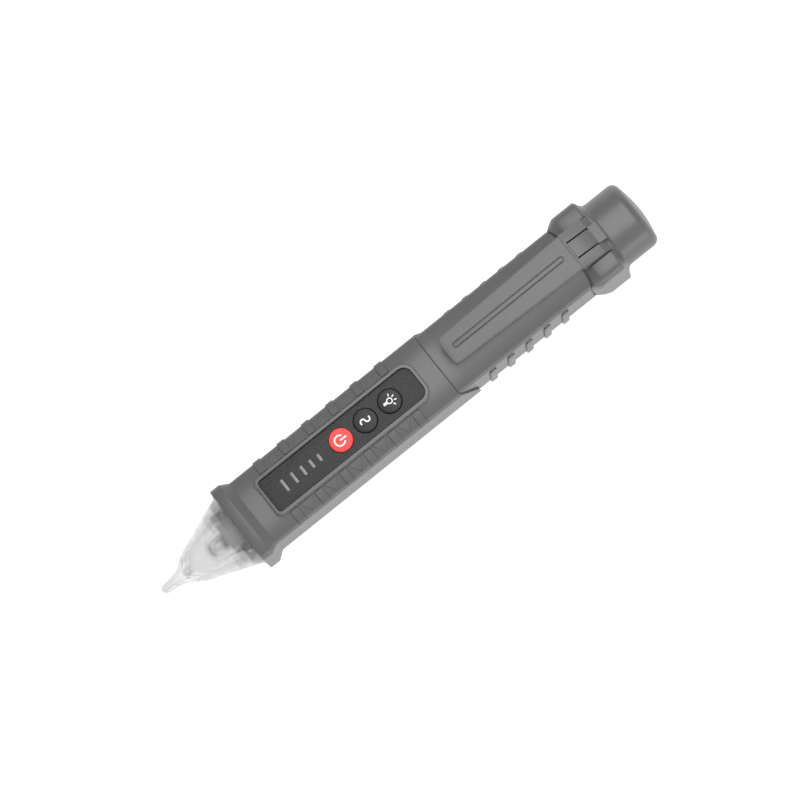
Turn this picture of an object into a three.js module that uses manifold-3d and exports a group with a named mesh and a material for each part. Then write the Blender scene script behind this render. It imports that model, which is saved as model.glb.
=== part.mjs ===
import * as THREE from "three";
import { mergeVertices } from "three/addons/utils/BufferGeometryUtils.js";
import Module from "manifold-3d";

// A pen-shaped voltage tester lying along X: clear nose at -X, battery cap at +X, keys on top.
// Millimetres. Heights are measured from the pen's axis; the last group lifts it onto its collars.

// Lengths along the pen
const tipLength = 25.9;
const frontLength = 67;
const sleeveLength = 45.3;
const tailLength = 21.8;

// Widths, steps and walls
const bodyHalf = 10.25;
const wall = 1.5;
const collarStep = 1.35;
const sleeveStep = 0.6;
const rearCollarStep = 1.55;
const collarLand = 3;
const chamferLength = 2.4;
const gap = 0.3; // clearance between neighbouring pieces
const beyond = 30; // farther from the axis than any piece
const bodyCrown = 18;
const collarCrown = 22;
const cornerRadius = 1.8;
const collarCorner = 3;

// Cells
const cellRadius = 5.25;
const cellLength = 44.5;
const cellDrop = 2.6; // the cells lie this far below the pen's axis
const cellClearance = 0.6;
const nubRadius = 1.9;
const nubLength = 1.2;
const springSpace = 9;
const springCoils = 4;
const springWire = 0.35;
const springSmall = 2.8; // coil radius at the cell
const springFlare = 1.6; // how much wider the last coil is
const dividerSetback = 2.4; // the wall between board bay and cells, ahead of the cells
const dividerThickness = 1.3;

// Board and what stands on it
const boardThickness = 1;
const boardLift = 0.75; // above the cells
const boardHalf = 7.4;
const boardFrontSetback = 7.1; // behind the housing's front face
const boardRearSetback = 0.9; // ahead of the sleeve's lap
const boardPostSide = 5;
const boardPostRadius = 0.9;
const solderGap = 0.05; // below each component
const stripThickness = 0.4;
const stripHalf = 1.5;
const stripDrop = 4.6; // of the sensing strip below the axis
const leafHalf = 3.5;
const railSide = 3.2;
const railWidth = 2.4;
const railLift = 0.9; // above the board
const switchSide = 4.5;
const switchHeight = 1.5;
const switchCan = 1;
const switchStem = 1.2;
const ledHeight = 0.8;
const buzzerRadius = 4.5;
const buzzerHeight = 4;

// Keys, label and light bars
const buttonRadius = 3.25;
const buttonFlange = 0.65;
const buttonFlangeHeight = 0.6;
const buttonTravel = 0.5;
const buttonProud = 0.65; // above the label
const buttonMargin = 0.35; // between neighbouring flanges
const labelThickness = 0.9;
const labelWidth = 10.2;
const lipWidth = 1;
const lipHeight = 0.7;
const lipProud = 0.4; // above the crown of the body
const seatCorner = 2.6;
const recessCorner = 1.8;
const labelClearance = 0.1;
const deckThickness = 1.6; // the seat below the label
const labelFrontSetback = 10.1;
const labelRearSetback = 5;
const lastButtonSetback = 10.3;
const barGap = 3.3; // from the last bar to the power key's flange
const barCount = 5;
const barWidth = 1.1;
const barLength = 3.9;
const barShrink = 0.38;
const barProud = 0.05;
const barPitch = 3.3;
const barPitchShrink = 0.1;

// Clear tip, its lamp and the holder behind it
const tipStep = 0.8; // the cone's base lies this far inside the collar
const tipWall = 1.1;
const noseHalf = 0.9;
const noseDepth = 2.3;
const noseLength = 5;
const shoulderHalf = 5.05;
const shoulderX = 10.7; // from the nose
const spigotLength = 4.5;
const holderReach = 4.4; // ahead of the collar
const holderFloor = 1.4;
const holderWall = 1.2;
const holderSlot = 2.6;
const lampRadius = 2.5;
const lampReach = 9.9; // ahead of the collar
const lampLength = 8.6;
const leadSize = 0.5;
const leadSpacing = 2.54;
const lampFlange = 0.4;

// Seams, lap joints and grip ribs
const cheekReach = 5; // the housing's side cheeks reach this far behind the top seam
const cheekTop = 8.4;
const partingHeight = -1;
const lapLength = labelRearSetback - 0.6; // stops short of the label seat
const rearCheekReach = 1.5;
const rearLapLength = 4.5;
const ribCount = 5;
const ribPitch = 6.02;
const ribLength = 2;
const ribHeight = 9.5;
const ribProud = 0.35;
const ribSlant = THREE.MathUtils.degToRad(13);
const ribFirstSetback = 10.2;
const ribDrop = 1.3; // of the ribs' centres below the parting line

// Pocket clip, its root and the cap latch
const clipReach = 41.3; // ahead of the collar
const clipFrontHalf = 4.4;
const clipRearHalf = 5.35;
const clipThickness = 1.6;
const clipFrontRise = 4.2; // of its top above the sleeve
const clipRearRise = 4.85;
const clipRootHalf = 5.5;
const clipRootLength = 8.9;
const channelDepth = 1.55;
const latchHalf = 2.3;
const latchThickness = 1.4;
const clipRib = 1.5;
const clipRibHeight = 0.4;
const clipRibSetbacks = [2.8, 2.5]; // from the blade's front and rear ends
const clipCorner = 1.6;
const footSetback = 2.6;
const footLength = 2.6;
const footLift = 0.4; // above the sleeve
const rootSetback = 0.65; // behind the rear seam
const bendSetback = 8.1;
const bendDrop = 1.65;
const latchSetback = 0.65; // behind the root's front end
const latchEndSetback = 10.8;
const latchSink = 0.25; // below the clip's top
const latchFloor = 1.1; // the root's web below the latch
const channelLength = 10.4;

// Tail cap
const capStep = 0.25;
const capWall = 1.5;
const capEndWall = 3.6;
const capDome = 0.9;
const capFillet = 1.6;
const collarLength = 11.2; // behind the rear seam
const plateThickness = 0.6;

// Stations along X
const overallLength = tipLength + frontLength + sleeveLength + tailLength;
const noseX = -overallLength / 2;
const frontX = noseX + tipLength;
const seamX = frontX + frontLength;
const rearX = seamX + sleeveLength;
const tailX = rearX + tailLength;

// Heights, stacked up from the cells
const cellTop = cellRadius - cellDrop;
const boardBottom = cellTop + boardLift;
const boardTop = boardBottom + boardThickness;
const buttonBottom = boardTop + switchHeight + buttonTravel + 0.1;
const deckBottom = buttonBottom + buttonFlangeHeight + 0.2;
const labelBottom = deckBottom + deckThickness;
const labelTop = labelBottom + labelThickness;
const lipTop = labelTop + lipHeight;
const bodyRise = lipTop - lipProud;
const sleeveDrop = cellDrop + cellRadius + cellClearance + wall - gap;
const bodyDrop = sleeveDrop + 0.4;
const restDrop = bodyDrop + collarStep;

// Cross sections: half width, height above and below the axis, crown radii and corner radius
const body = { half: bodyHalf, rise: bodyRise, drop: bodyDrop };
Object.assign(body, { crown: bodyCrown, underCrown: bodyCrown, corner: cornerRadius });
const sleeve = { ...body, half: bodyHalf - sleeveStep, rise: bodyRise - 0.35, drop: sleeveDrop };
const frontCollar = { half: bodyHalf + collarStep, rise: bodyRise + collarStep, drop: restDrop };
Object.assign(frontCollar, { crown: collarCrown, underCrown: 0, corner: collarCorner });
const rearCollar = { ...frontCollar, half: sleeve.half + rearCollarStep };
const cavity = inset(body, wall);
const lap = inset(cavity, gap);
const rearLap = inset(sleeve, 0.6);
const capRadius = sleeve.drop + capStep;
const capBore = capRadius - capWall;
const coneRadius = frontCollar.half - tipStep;
const spigotRadius = cavity.half + 0.2;

// Places that several pieces share
const capInnerX = tailX - capEndWall;
const cellRearX = capInnerX - plateThickness - springSpace;
const cellFrontX = cellRearX - 2 * cellLength - gap;
const dividerX = cellFrontX - dividerSetback;
const boardFrontX = frontX + boardFrontSetback;
const boardRearX = seamX - lapLength - boardRearSetback;
const seatZ = boardTop + solderGap;
const labelFrontX = frontX + labelFrontSetback;
const labelRearX = seamX - labelRearSetback;
const buttonPitch = 2 * (buttonRadius + buttonFlange) + buttonMargin;
const lastButtonX = labelRearX - lastButtonSetback;
const channelFloor = rearCollar.rise - channelDepth;
const clipRearTop = sleeve.rise + clipRearRise;
const rootFrontX = rearX + rootSetback;

const finishes = {
  casing: { color: 0x77777a, roughness: 0.55, metalness: 0 },
  clip: { color: 0x88888b, roughness: 0.5, metalness: 0 },
  label: { color: 0x3c3c3e, roughness: 0.7, metalness: 0 },
  blackKey: { color: 0x2a2a2c, roughness: 0.45, metalness: 0 },
  redKey: { color: 0xf24a48, roughness: 0.4, metalness: 0 },
  bar: { color: 0x9a9a9c, roughness: 0.4, metalness: 0 },
  clear: { color: 0xeef1f2, roughness: 0.08, metalness: 0 },
  lamp: { color: 0xf7f8ee, roughness: 0.1, metalness: 0 },
  redLamp: { color: 0xd23a34, roughness: 0.2, metalness: 0 },
  holder: { color: 0xa9abac, roughness: 0.5, metalness: 0 },
  board: { color: 0x1d5a34, roughness: 0.5, metalness: 0 },
  chip: { color: 0x1c1c1e, roughness: 0.5, metalness: 0 },
  steel: { color: 0xb9bcc0, roughness: 0.3, metalness: 1 },
  brass: { color: 0xc9a24e, roughness: 0.35, metalness: 1 },
  cell: { color: 0x2b2b2f, roughness: 0.35, metalness: 0.6 },
};

const wasm = await Module();
wasm.setup();

// Solids: a closed geometry becomes one, is joined or cut, and becomes a geometry again.
function solidFrom(geometry) {
  geometry.deleteAttribute("normal");
  geometry.deleteAttribute("uv");
  const merged = mergeVertices(geometry, 1e-4);
  const vertProperties = merged.attributes.position.array;
  const triVerts = new Uint32Array(merged.index.array);
  return new wasm.Manifold(new wasm.Mesh({ numProp: 3, vertProperties, triVerts }));
}

function geometryFrom(solid) {
  const { vertProperties, triVerts } = solid.getMesh();
  const geometry = new THREE.BufferGeometry();
  geometry.setAttribute("position", new THREE.BufferAttribute(new Float32Array(vertProperties), 3));
  geometry.setIndex(new THREE.BufferAttribute(new Uint32Array(triVerts), 1));
  const faceted = geometry.toNonIndexed();
  faceted.computeVertexNormals();
  return faceted;
}

const join = (first, ...others) => others.reduce((a, b) => a.add(b), first);
const cut = (first, ...others) => others.reduce((a, b) => a.subtract(b), first);

function inset(section, by) {
  const { half, rise, drop, crown, underCrown, corner } = section;
  return {
    half: half - by,
    rise: rise - by,
    drop: drop - by,
    crown: crown && crown - by,
    underCrown: underCrown && underCrown - by,
    corner: Math.max(corner - by, 0.5),
  };
}

// Where a corner's arc is centred, and the angle at which it meets the crown above it.
function cornerArc(half, reach, crown, corner) {
  if (!crown) return { height: reach - corner, turn: Math.PI / 2 };
  const aside = half - corner;
  const above = Math.sqrt((crown - corner) ** 2 - aside ** 2);
  return { height: reach - crown + above, turn: Math.atan2(above, aside) };
}

function sectionShape({ half, rise, drop, crown, underCrown, corner }) {
  const top = cornerArc(half, rise, crown, corner);
  const low = cornerArc(half, drop, underCrown, corner);
  const aside = half - corner;
  const shape = new THREE.Shape();
  shape.moveTo(half, -low.height);
  shape.lineTo(half, top.height);
  shape.absarc(aside, top.height, corner, 0, top.turn);
  if (crown) shape.absarc(0, rise - crown, crown, top.turn, Math.PI - top.turn);
  shape.absarc(-aside, top.height, corner, Math.PI - top.turn, Math.PI);
  shape.lineTo(-half, -low.height);
  shape.absarc(-aside, -low.height, corner, Math.PI, Math.PI + low.turn);
  if (underCrown) shape.absarc(0, underCrown - drop, underCrown, Math.PI + low.turn, -low.turn);
  shape.absarc(aside, -low.height, corner, -low.turn, 0);
  return cleaned(shape);
}

// The same outline without the doubled points that arcs leave where they meet.
function cleaned(shape, divisions = 3) {
  const points = shape.getPoints(divisions);
  const kept = points.filter((p, i) => p.distanceTo(points.at(i - 1)) > 1e-3);
  return new THREE.Shape(kept);
}

// Extrusions: a section along X, a side outline (x, z) along Y, a plan outline (x, y) along Z.
function alongX(shape, from, to, bevel = {}) {
  const { length = 0, depth = 0 } = bevel;
  const geometry = new THREE.ExtrudeGeometry(shape, {
    depth: to - from - 2 * length,
    bevelEnabled: length > 0,
    bevelThickness: length,
    bevelSize: depth,
    bevelOffset: -depth,
    bevelSegments: 1,
  });
  const turn = new THREE.Matrix4().makeBasis(
    new THREE.Vector3(0, 1, 0),
    new THREE.Vector3(0, 0, 1),
    new THREE.Vector3(1, 0, 0),
  );
  return solidFrom(geometry.translate(0, 0, length).applyMatrix4(turn).translate(from, 0, 0));
}

function alongY(shape, from, to) {
  const geometry = new THREE.ExtrudeGeometry(shape, { depth: to - from, bevelEnabled: false });
  return solidFrom(geometry.rotateX(Math.PI / 2).translate(0, to, 0));
}

function alongZ(shape, from, to) {
  const geometry = new THREE.ExtrudeGeometry(shape, { depth: to - from, bevelEnabled: false });
  return solidFrom(geometry.translate(0, 0, from));
}

const outline = (points) => new THREE.Shape(points.map(([x, y]) => new THREE.Vector2(x, y)));

function block(x0, x1, y0, y1, z0, z1) {
  const geometry = new THREE.BoxGeometry(x1 - x0, y1 - y0, z1 - z0);
  return solidFrom(geometry.translate((x0 + x1) / 2, (y0 + y1) / 2, (z0 + z1) / 2));
}

function roundedRectangle(x0, x1, half, radius) {
  const shape = new THREE.Shape();
  shape.absarc(x1 - radius, half - radius, radius, 0, Math.PI / 2);
  shape.absarc(x0 + radius, half - radius, radius, Math.PI / 2, Math.PI);
  shape.absarc(x0 + radius, radius - half, radius, Math.PI, 1.5 * Math.PI);
  shape.absarc(x1 - radius, radius - half, radius, 1.5 * Math.PI, 2 * Math.PI);
  return cleaned(shape);
}

// A solid of revolution about X from (x, radius) points, from the nose end to the tail end.
function turned(points, segments = 40) {
  const profile = points.map(([x, r]) => new THREE.Vector2(r, x));
  return solidFrom(new THREE.LatheGeometry(profile, segments).rotateZ(-Math.PI / 2));
}

const rod = (x0, x1, radius, segments) =>
  turned([[x0, 0], [x0, radius], [x1, radius], [x1, 0]], segments);

// A round post along Z at the origin.
const post = (z0, z1, radius, segments = 32) =>
  rod(z0, z1, radius, segments).rotate([0, -90, 0]);

// Everything between two stations, or between two heights.
const between = (x0, x1) => block(x0, x1, -beyond, beyond, -beyond, beyond);
const layer = (z0, z1) => block(noseX, tailX, -beyond, beyond, z0, z1);

const pen = new THREE.Group();

function addPiece(name, solid, finish, place = [0, 0, 0]) {
  const mesh = new THREE.Mesh(geometryFrom(solid), new THREE.MeshStandardMaterial(finishes[finish]));
  mesh.name = name;
  mesh.position.set(...place);
  pen.add(mesh);
}

// The region ahead of a seam that steps back down the sides, as a block across the pen.
function aheadOfSeam(x, reach, slopeTop, slopeBottom) {
  const far = 2 * restDrop;
  const front = noseX - 1;
  const edge = [[x, far], [front, far], [front, -far], [x + reach, -far]];
  return alongY(outline([...edge, [x + reach, slopeBottom], [x, slopeTop]]), -far, far);
}

function buttonX(index) {
  return lastButtonX - (2 - index) * buttonPitch;
}

const barOffset = (index) => barPitch * index - barPitchShrink * index ** 2;

function barX(index) {
  const lastX = buttonX(0) - buttonRadius - buttonFlange - barGap;
  return lastX - barOffset(barCount - 1) + barOffset(index);
}

function barSpan(index, extra = 0) {
  return (barLength - barShrink * index) / 2 + extra;
}

// Front housing: two shells that meet at the parting line, with the collar and the label's seat.
function frontShell() {
  const end = seamX + cheekReach + 1;
  const collarEnd = frontX + collarLand + chamferLength;
  const bevel = { length: chamferLength, depth: collarStep };
  const collar = alongX(sectionShape(frontCollar), frontX - chamferLength, collarEnd, bevel);
  const seat = roundedRectangle(labelFrontX, labelRearX, labelWidth / 2 + lipWidth, seatCorner);
  const shell = join(
    alongX(sectionShape(body), frontX + 1, end),
    cut(collar, between(noseX, frontX)),
  );
  const hollow = cut(
    shell,
    alongX(sectionShape(cavity), frontX + wall, end + 1),
    rod(frontX - 1, frontX + spigotLength + 1, spigotRadius + gap),
  );
  const seated = join(hollow, alongZ(seat, deckBottom, lipTop), ...boardPosts());
  return seated.intersect(aheadOfSeam(seamX, cheekReach, cheekTop, 0));
}

function boardPosts() {
  const stations = [labelFrontX + lipWidth + 0.5, lastButtonX + buttonRadius];
  const places = stations.flatMap((x) => [[x, -boardPostSide], [x, boardPostSide]]);
  const single = post(boardTop + gap, deckBottom + 0.5, boardPostRadius, 16);
  return places.map(([x, y]) => single.translate([x, y, 0]));
}

function labelRecess() {
  return alongZ(labelOutline(0), labelBottom, lipTop + 1);
}

function labelOutline(clearance) {
  const [front, rear] = [labelFrontX + lipWidth + clearance, labelRearX - lipWidth - clearance];
  return roundedRectangle(front, rear, labelWidth / 2 - clearance, recessCorner - clearance);
}

function keyHoles(clearance) {
  return [0, 1, 2].map((i) => {
    const hole = post(deckBottom - 1, lipTop + 1, buttonRadius + clearance);
    return hole.translate([buttonX(i), 0, 0]);
  });
}

function barHoles(clearance) {
  return Array.from({ length: barCount }, (_, i) => {
    const half = barWidth / 2 + clearance;
    const span = barSpan(i, clearance);
    return block(barX(i) - half, barX(i) + half, -span, span, deckBottom - 1, lipTop + 1);
  });
}

function addHousing() {
  const shell = frontShell();
  const above = layer(partingHeight + gap / 2, beyond);
  const below = layer(-beyond, partingHeight - gap / 2);
  const top = cut(shell, labelRecess(), ...keyHoles(gap), ...barHoles(gap)).intersect(above);
  addPiece("front_housing_top", top, "casing");
  const filling = alongX(sectionShape(inset(body, wall / 3)), boardFrontX, seamX);
  const divider = between(dividerX, dividerX + dividerThickness).intersect(filling);
  addPiece("front_housing_bottom", join(shell, divider).intersect(below), "casing");
}

// Label plate with its key holes and bar windows, the keys and the light bars
function addControls() {
  const plate = alongZ(labelOutline(labelClearance), labelBottom, labelTop);
  addPiece("label_plate", cut(plate, ...keyHoles(gap), ...barHoles(gap)), "label");
  const names = ["power_button", "sensitivity_button", "lamp_button"];
  names.forEach((name, i) => {
    const place = [buttonX(i), 0, 0];
    addPiece(name, button(), i === 0 ? "redKey" : "blackKey", place);
  });
  for (let i = 0; i < barCount; i++) {
    const span = barSpan(i);
    const foot = boardTop + ledHeight + gap;
    const bar = block(-barWidth / 2, barWidth / 2, -span, span, foot, labelTop + barProud);
    addPiece(`light_bar_${i + 1}`, bar, "bar", [barX(i), 0, 0]);
  }
}

function button() {
  const crown = labelTop + buttonProud;
  const flangeTop = buttonBottom + buttonFlangeHeight;
  const profile = [
    [buttonBottom, 0],
    [buttonBottom, buttonRadius + buttonFlange],
    [flangeTop, buttonRadius + buttonFlange],
    [flangeTop, buttonRadius],
    [crown - 0.45, buttonRadius],
    [crown - 0.12, buttonRadius - 0.35],
    [crown, 0],
  ];
  return turned(profile, 32).rotate([0, -90, 0]);
}

// Clear tip: a hollow cone whose nose is scooped from both sides into a thin blade
function addTip() {
  const baseX = frontX - gap;
  const shoulder = noseX + shoulderX;
  const cone = turned([
    [noseX, 0],
    [noseX, noseDepth - 0.7],
    [noseX + 0.7, noseDepth],
    [shoulder, shoulderHalf],
    [baseX, coneRadius],
    [baseX, spigotRadius],
    [frontX + spigotLength, spigotRadius],
    [frontX + spigotLength, 0],
  ]);
  const hollow = turned([
    [shoulder - 3.6, 0],
    [shoulder - 3.6, 0.6],
    [shoulder, shoulderHalf - tipWall],
    [baseX - tipWall, coneRadius - 1.5 * tipWall],
    [baseX - tipWall, spigotRadius - tipWall],
    [frontX + spigotLength + 1, spigotRadius - tipWall],
    [frontX + spigotLength + 1, 0],
  ]);
  addPiece("probe_tip", cut(cone, hollow).intersect(alongZ(tipPlan(), -beyond, beyond)), "clear");
}

function tipPlan() {
  const shoulder = noseX + shoulderX;
  const flareX = noseX + noseLength;
  const wide = coneRadius + 1;
  const end = frontX + spigotLength + 1;
  const plan = new THREE.Shape();
  plan.absarc(noseX + noseHalf, 0, noseHalf, Math.PI / 2, 1.5 * Math.PI);
  plan.bezierCurveTo(flareX + 2, -noseHalf, shoulder - 3, -shoulderHalf + 1.8, shoulder, -shoulderHalf - 0.1);
  plan.lineTo(shoulder + 1, -wide);
  plan.lineTo(end, -wide);
  plan.lineTo(end, wide);
  plan.lineTo(shoulder + 1, wide);
  plan.lineTo(shoulder, shoulderHalf + 0.1);
  plan.bezierCurveTo(shoulder - 3, shoulderHalf - 1.8, flareX + 2, noseHalf, noseX + noseHalf, noseHalf);
  return cleaned(plan, 8);
}

// Lamp, its castellated holder, the alarm lamp and the sensing strip
function addNoseParts() {
  const ring = spigotRadius - tipWall - gap;
  const holderFront = frontX - holderReach;
  const holderRear = frontX + spigotLength + 1;
  const slot = block(holderFront - 1, frontX - 0.5, -beyond, beyond, -holderSlot / 2, holderSlot / 2);
  const shell = cut(
    rod(holderFront, holderRear, ring),
    rod(holderFront - 1, holderRear - holderFloor, ring - holderWall),
    ...[45, 135].map((angle) => slot.rotate([angle, 0, 0])),
  );
  const hub = rod(frontX, holderRear, lampRadius + 1);
  const stripTop = stripThickness - stripDrop;
  const stripFront = frontX - lampReach + lampRadius - 0.6;
  const strip = block(stripFront, boardFrontX + stripHalf, -stripHalf, stripHalf, -stripDrop, stripTop);
  const holeHalf = stripHalf + gap;
  const stripHole = block(
    ...[holderRear - 2 * holderFloor, holderRear + 1, -holeHalf, holeHalf],
    ...[-stripDrop - gap, stripTop + gap],
  );
  const bore = rod(holderFront, holderRear + 1, leadSpacing / 2 + leadSize, 24);
  addPiece("lamp_holder", cut(join(shell, hub), bore, stripHole), "holder");
  const riserX = boardFrontX + 1.2;
  const riser = block(riserX, riserX + gap, -stripHalf, stripHalf, -stripDrop, boardBottom - gap);
  addPiece("sensing_strip", join(strip, riser), "brass");
  addPiece("nose_lamp", noseLamp(), "lamp");
  const alarm = join(block(-1.2, 1.2, -1, 1, 0, 0.8), block(-0.9, 0.9, -0.7, 0.7, 0.8, 1.1));
  addPiece("alarm_lamp", alarm, "redLamp", [boardFrontX + 1.4, 0, seatZ]);
}

function noseLamp() {
  const tip = frontX - lampReach;
  const base = tip + lampLength;
  const dome = [0, 1, 2, 3, 4, 5].map((i) => {
    const angle = (i * Math.PI) / 10;
    return [tip + lampRadius * (1 - Math.cos(angle)), lampRadius * Math.sin(angle)];
  });
  const flange = lampRadius + lampFlange;
  const glass = turned([...dome, [base - 1, lampRadius], [base - 1, flange], [base, flange], [base, 0]], 28);
  const leads = [-1, 1].map((side) => {
    const y = (side * leadSpacing) / 2;
    const half = leadSize / 2;
    const rear = boardFrontX + 0.7;
    return join(
      block(base - 0.2, rear, y - half, y + half, -half, half),
      block(rear - leadSize, rear, y - half, y + half, -half, boardBottom - gap),
    );
  });
  return join(glass, ...leads);
}

// Circuit board with switches, bar lamps, chip and buzzer
function addElectronics() {
  const board = block(boardFrontX, boardRearX, -boardHalf, boardHalf, boardBottom, boardTop);
  addPiece("circuit_board", board, "board");
  const can = block(-switchSide / 2, switchSide / 2, -switchSide / 2, switchSide / 2, 0, switchCan);
  const tactSwitch = join(can, post(switchCan / 2, switchHeight - 0.1, switchStem, 20));
  for (let i = 0; i < 3; i++) addPiece(`key_switch_${i + 1}`, tactSwitch, "steel", [buttonX(i), 0, seatZ]);
  for (let i = 0; i < barCount; i++) {
    const chip = join(block(-0.4, 0.4, -0.8, 0.8, 0, 0.5), block(-0.35, 0.35, -0.5, 0.5, 0.5, ledHeight));
    addPiece(`bar_lamp_${i + 1}`, chip, "redLamp", [barX(i), 0, seatZ]);
  }
  addPiece("control_chip", block(-1.7, 1.7, -2, 2, 0, 0.9), "chip", [boardRearX - 2.1, -1, seatZ]);
  const soundHole = post(-buzzerHeight - 1, -buzzerHeight + 0.8, 0.9, 16);
  const buzzer = cut(post(-buzzerHeight, 0, buzzerRadius), soundHole);
  const buzzerX = dividerX - 0.6 - buzzerRadius;
  addPiece("buzzer", buzzer, "chip", [buzzerX, 0, boardBottom - solderGap]);
}

// Cells and the metal that joins them to the board
function addPower() {
  const cellProfile = [
    [0, 0],
    [0, nubRadius],
    [nubLength, nubRadius],
    [nubLength, cellRadius - 0.5],
    [nubLength + 0.4, cellRadius],
    [cellLength - 0.4, cellRadius],
    [cellLength, cellRadius - 0.5],
    [cellLength, 0],
  ];
  const cell = turned(cellProfile, 32);
  addPiece("front_cell", cell, "cell", [cellFrontX, 0, -cellDrop]);
  addPiece("rear_cell", cell, "cell", [cellFrontX + cellLength + gap, 0, -cellDrop]);
  const contactX = cellFrontX - stripThickness - gap;
  const contactRear = contactX + stripThickness;
  const [leafLow, leafHigh] = [-cellDrop - leafHalf, -cellDrop + leafHalf];
  const leaf = block(contactX, contactRear, -leafHalf, leafHalf, leafLow, leafHigh);
  const tab = block(contactX, contactRear, -stripHalf, stripHalf, -cellDrop, boardBottom - gap);
  addPiece("front_contact", join(leaf, tab), "brass");
  const [railTop, railFar] = [boardTop + railLift, railSide + railWidth];
  const railX = boardRearX - 2 * stripHalf;
  const rail = block(railX, rearX + 6.1, railSide, railFar, railTop - stripThickness, railTop);
  const foot = block(railX, railX + stripHalf, railSide, railFar, seatZ, railTop);
  addPiece("contact_rail", join(rail, foot), "brass");
  const plate = rod(capInnerX - plateThickness - gap, capInnerX - gap, capBore - gap);
  const arm = block(
    ...[rearX + 5.3, capInnerX - gap, railSide + 0.2, railFar - 0.2],
    ...[railTop + gap, railTop + gap + stripThickness],
  );
  addPiece("tail_contact", join(plate, arm), "brass");
  addPiece("cell_spring", spring(), "steel", [0, 0, -cellDrop]);
}

function spring() {
  const start = cellRearX + gap + springWire;
  const end = capInnerX - plateThickness - 2 * gap - springWire;
  class ConeHelix extends THREE.Curve {
    getPoint(t, target = new THREE.Vector3()) {
      const angle = 2 * Math.PI * springCoils * t;
      const radius = springSmall + springFlare * t;
      return target.set(start + (end - start) * t, radius * Math.cos(angle), radius * Math.sin(angle));
    }
  }
  const section = new THREE.Shape().absarc(0, 0, springWire, 0, 2 * Math.PI);
  const options = { steps: 18 * springCoils, extrudePath: new ConeHelix() };
  return solidFrom(new THREE.ExtrudeGeometry(cleaned(section, 4), options));
}

// Rear sleeve: a tube with a lap into the housing, a lap for the cap, and grip ribs
function addSleeve() {
  const rearCut = aheadOfSeam(rearX, -rearCheekReach, cheekTop - 0.4, cheekTop - 1.9);
  const tube = alongX(sectionShape(sleeve), seamX - 1, rearX + 1);
  const ahead = aheadOfSeam(seamX + gap, cheekReach, cheekTop, 0);
  const ribbed = join(tube, ...gripRibs());
  const visible = cut(ribbed, ahead).intersect(rearCut);
  const frontLap = alongX(sectionShape(lap), seamX - lapLength, seamX + cheekReach + 3);
  const backLap = alongX(sectionShape(rearLap), rearX - 5, rearX + rearLapLength);
  const inner = alongX(sectionShape(inset(lap, 1)), seamX - lapLength - 1, rearX + rearLapLength + 1);
  const cellBore = rod(cellFrontX, cellRearX + 9, cellRadius + cellClearance).translate([0, 0, -cellDrop]);
  addPiece("rear_sleeve", cut(join(visible, frontLap, backLap), inner, cellBore), "casing");
}

function gripRibs() {
  const ribs = [];
  for (let i = 0; i < ribCount; i++) {
    const x = seamX + ribFirstSetback + i * ribPitch;
    const bar = block(-ribLength / 2, ribLength / 2, -1, ribProud, -ribHeight / 2, ribHeight / 2);
    const slanted = bar.rotate([0, THREE.MathUtils.radToDeg(ribSlant), 0]);
    const placed = slanted.translate([x, sleeve.half, partingHeight - ribDrop]);
    ribs.push(placed, placed.mirror([0, 1, 0]));
  }
  return ribs;
}

// Tail cap: the rear collar and the round cap in one, hollow, with a channel for the clip's root
function addTailCap() {
  const collarFront = rearX - rearCheekReach;
  const collarRear = rearX + collarLength;
  const bevel = { length: chamferLength, depth: rearCollarStep - 0.2 };
  const collar = alongX(sectionShape(rearCollar), collarFront, collarRear, bevel);
  const dome = [0, 1, 2, 3].map((i) => {
    const angle = (i * Math.PI) / 6;
    const x = tailX - capDome - capFillet * (1 - Math.sin(angle));
    return [x, capRadius - capFillet * (1 - Math.cos(angle))];
  });
  const round = turned([[rearX + 6, 0], [rearX + 6, capRadius], ...dome, [tailX, 0]], 48);
  const behind = aheadOfSeam(rearX + gap, -rearCheekReach, cheekTop - 0.4, cheekTop - 1.9);
  const pocket = alongX(sectionShape(inset(rearLap, -gap)), rearX - 4, rearX + rearLapLength + gap);
  const bore = rod(rearX + rearLapLength, capInnerX, capBore);
  const channelHalf = clipRootHalf + gap;
  const channelEnd = rearX + channelLength;
  const channel = block(seamX, channelEnd, -channelHalf, channelHalf, channelFloor, beyond);
  addPiece("tail_cap", cut(join(collar, round), behind, pocket, bore, channel), "casing");
}

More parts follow.
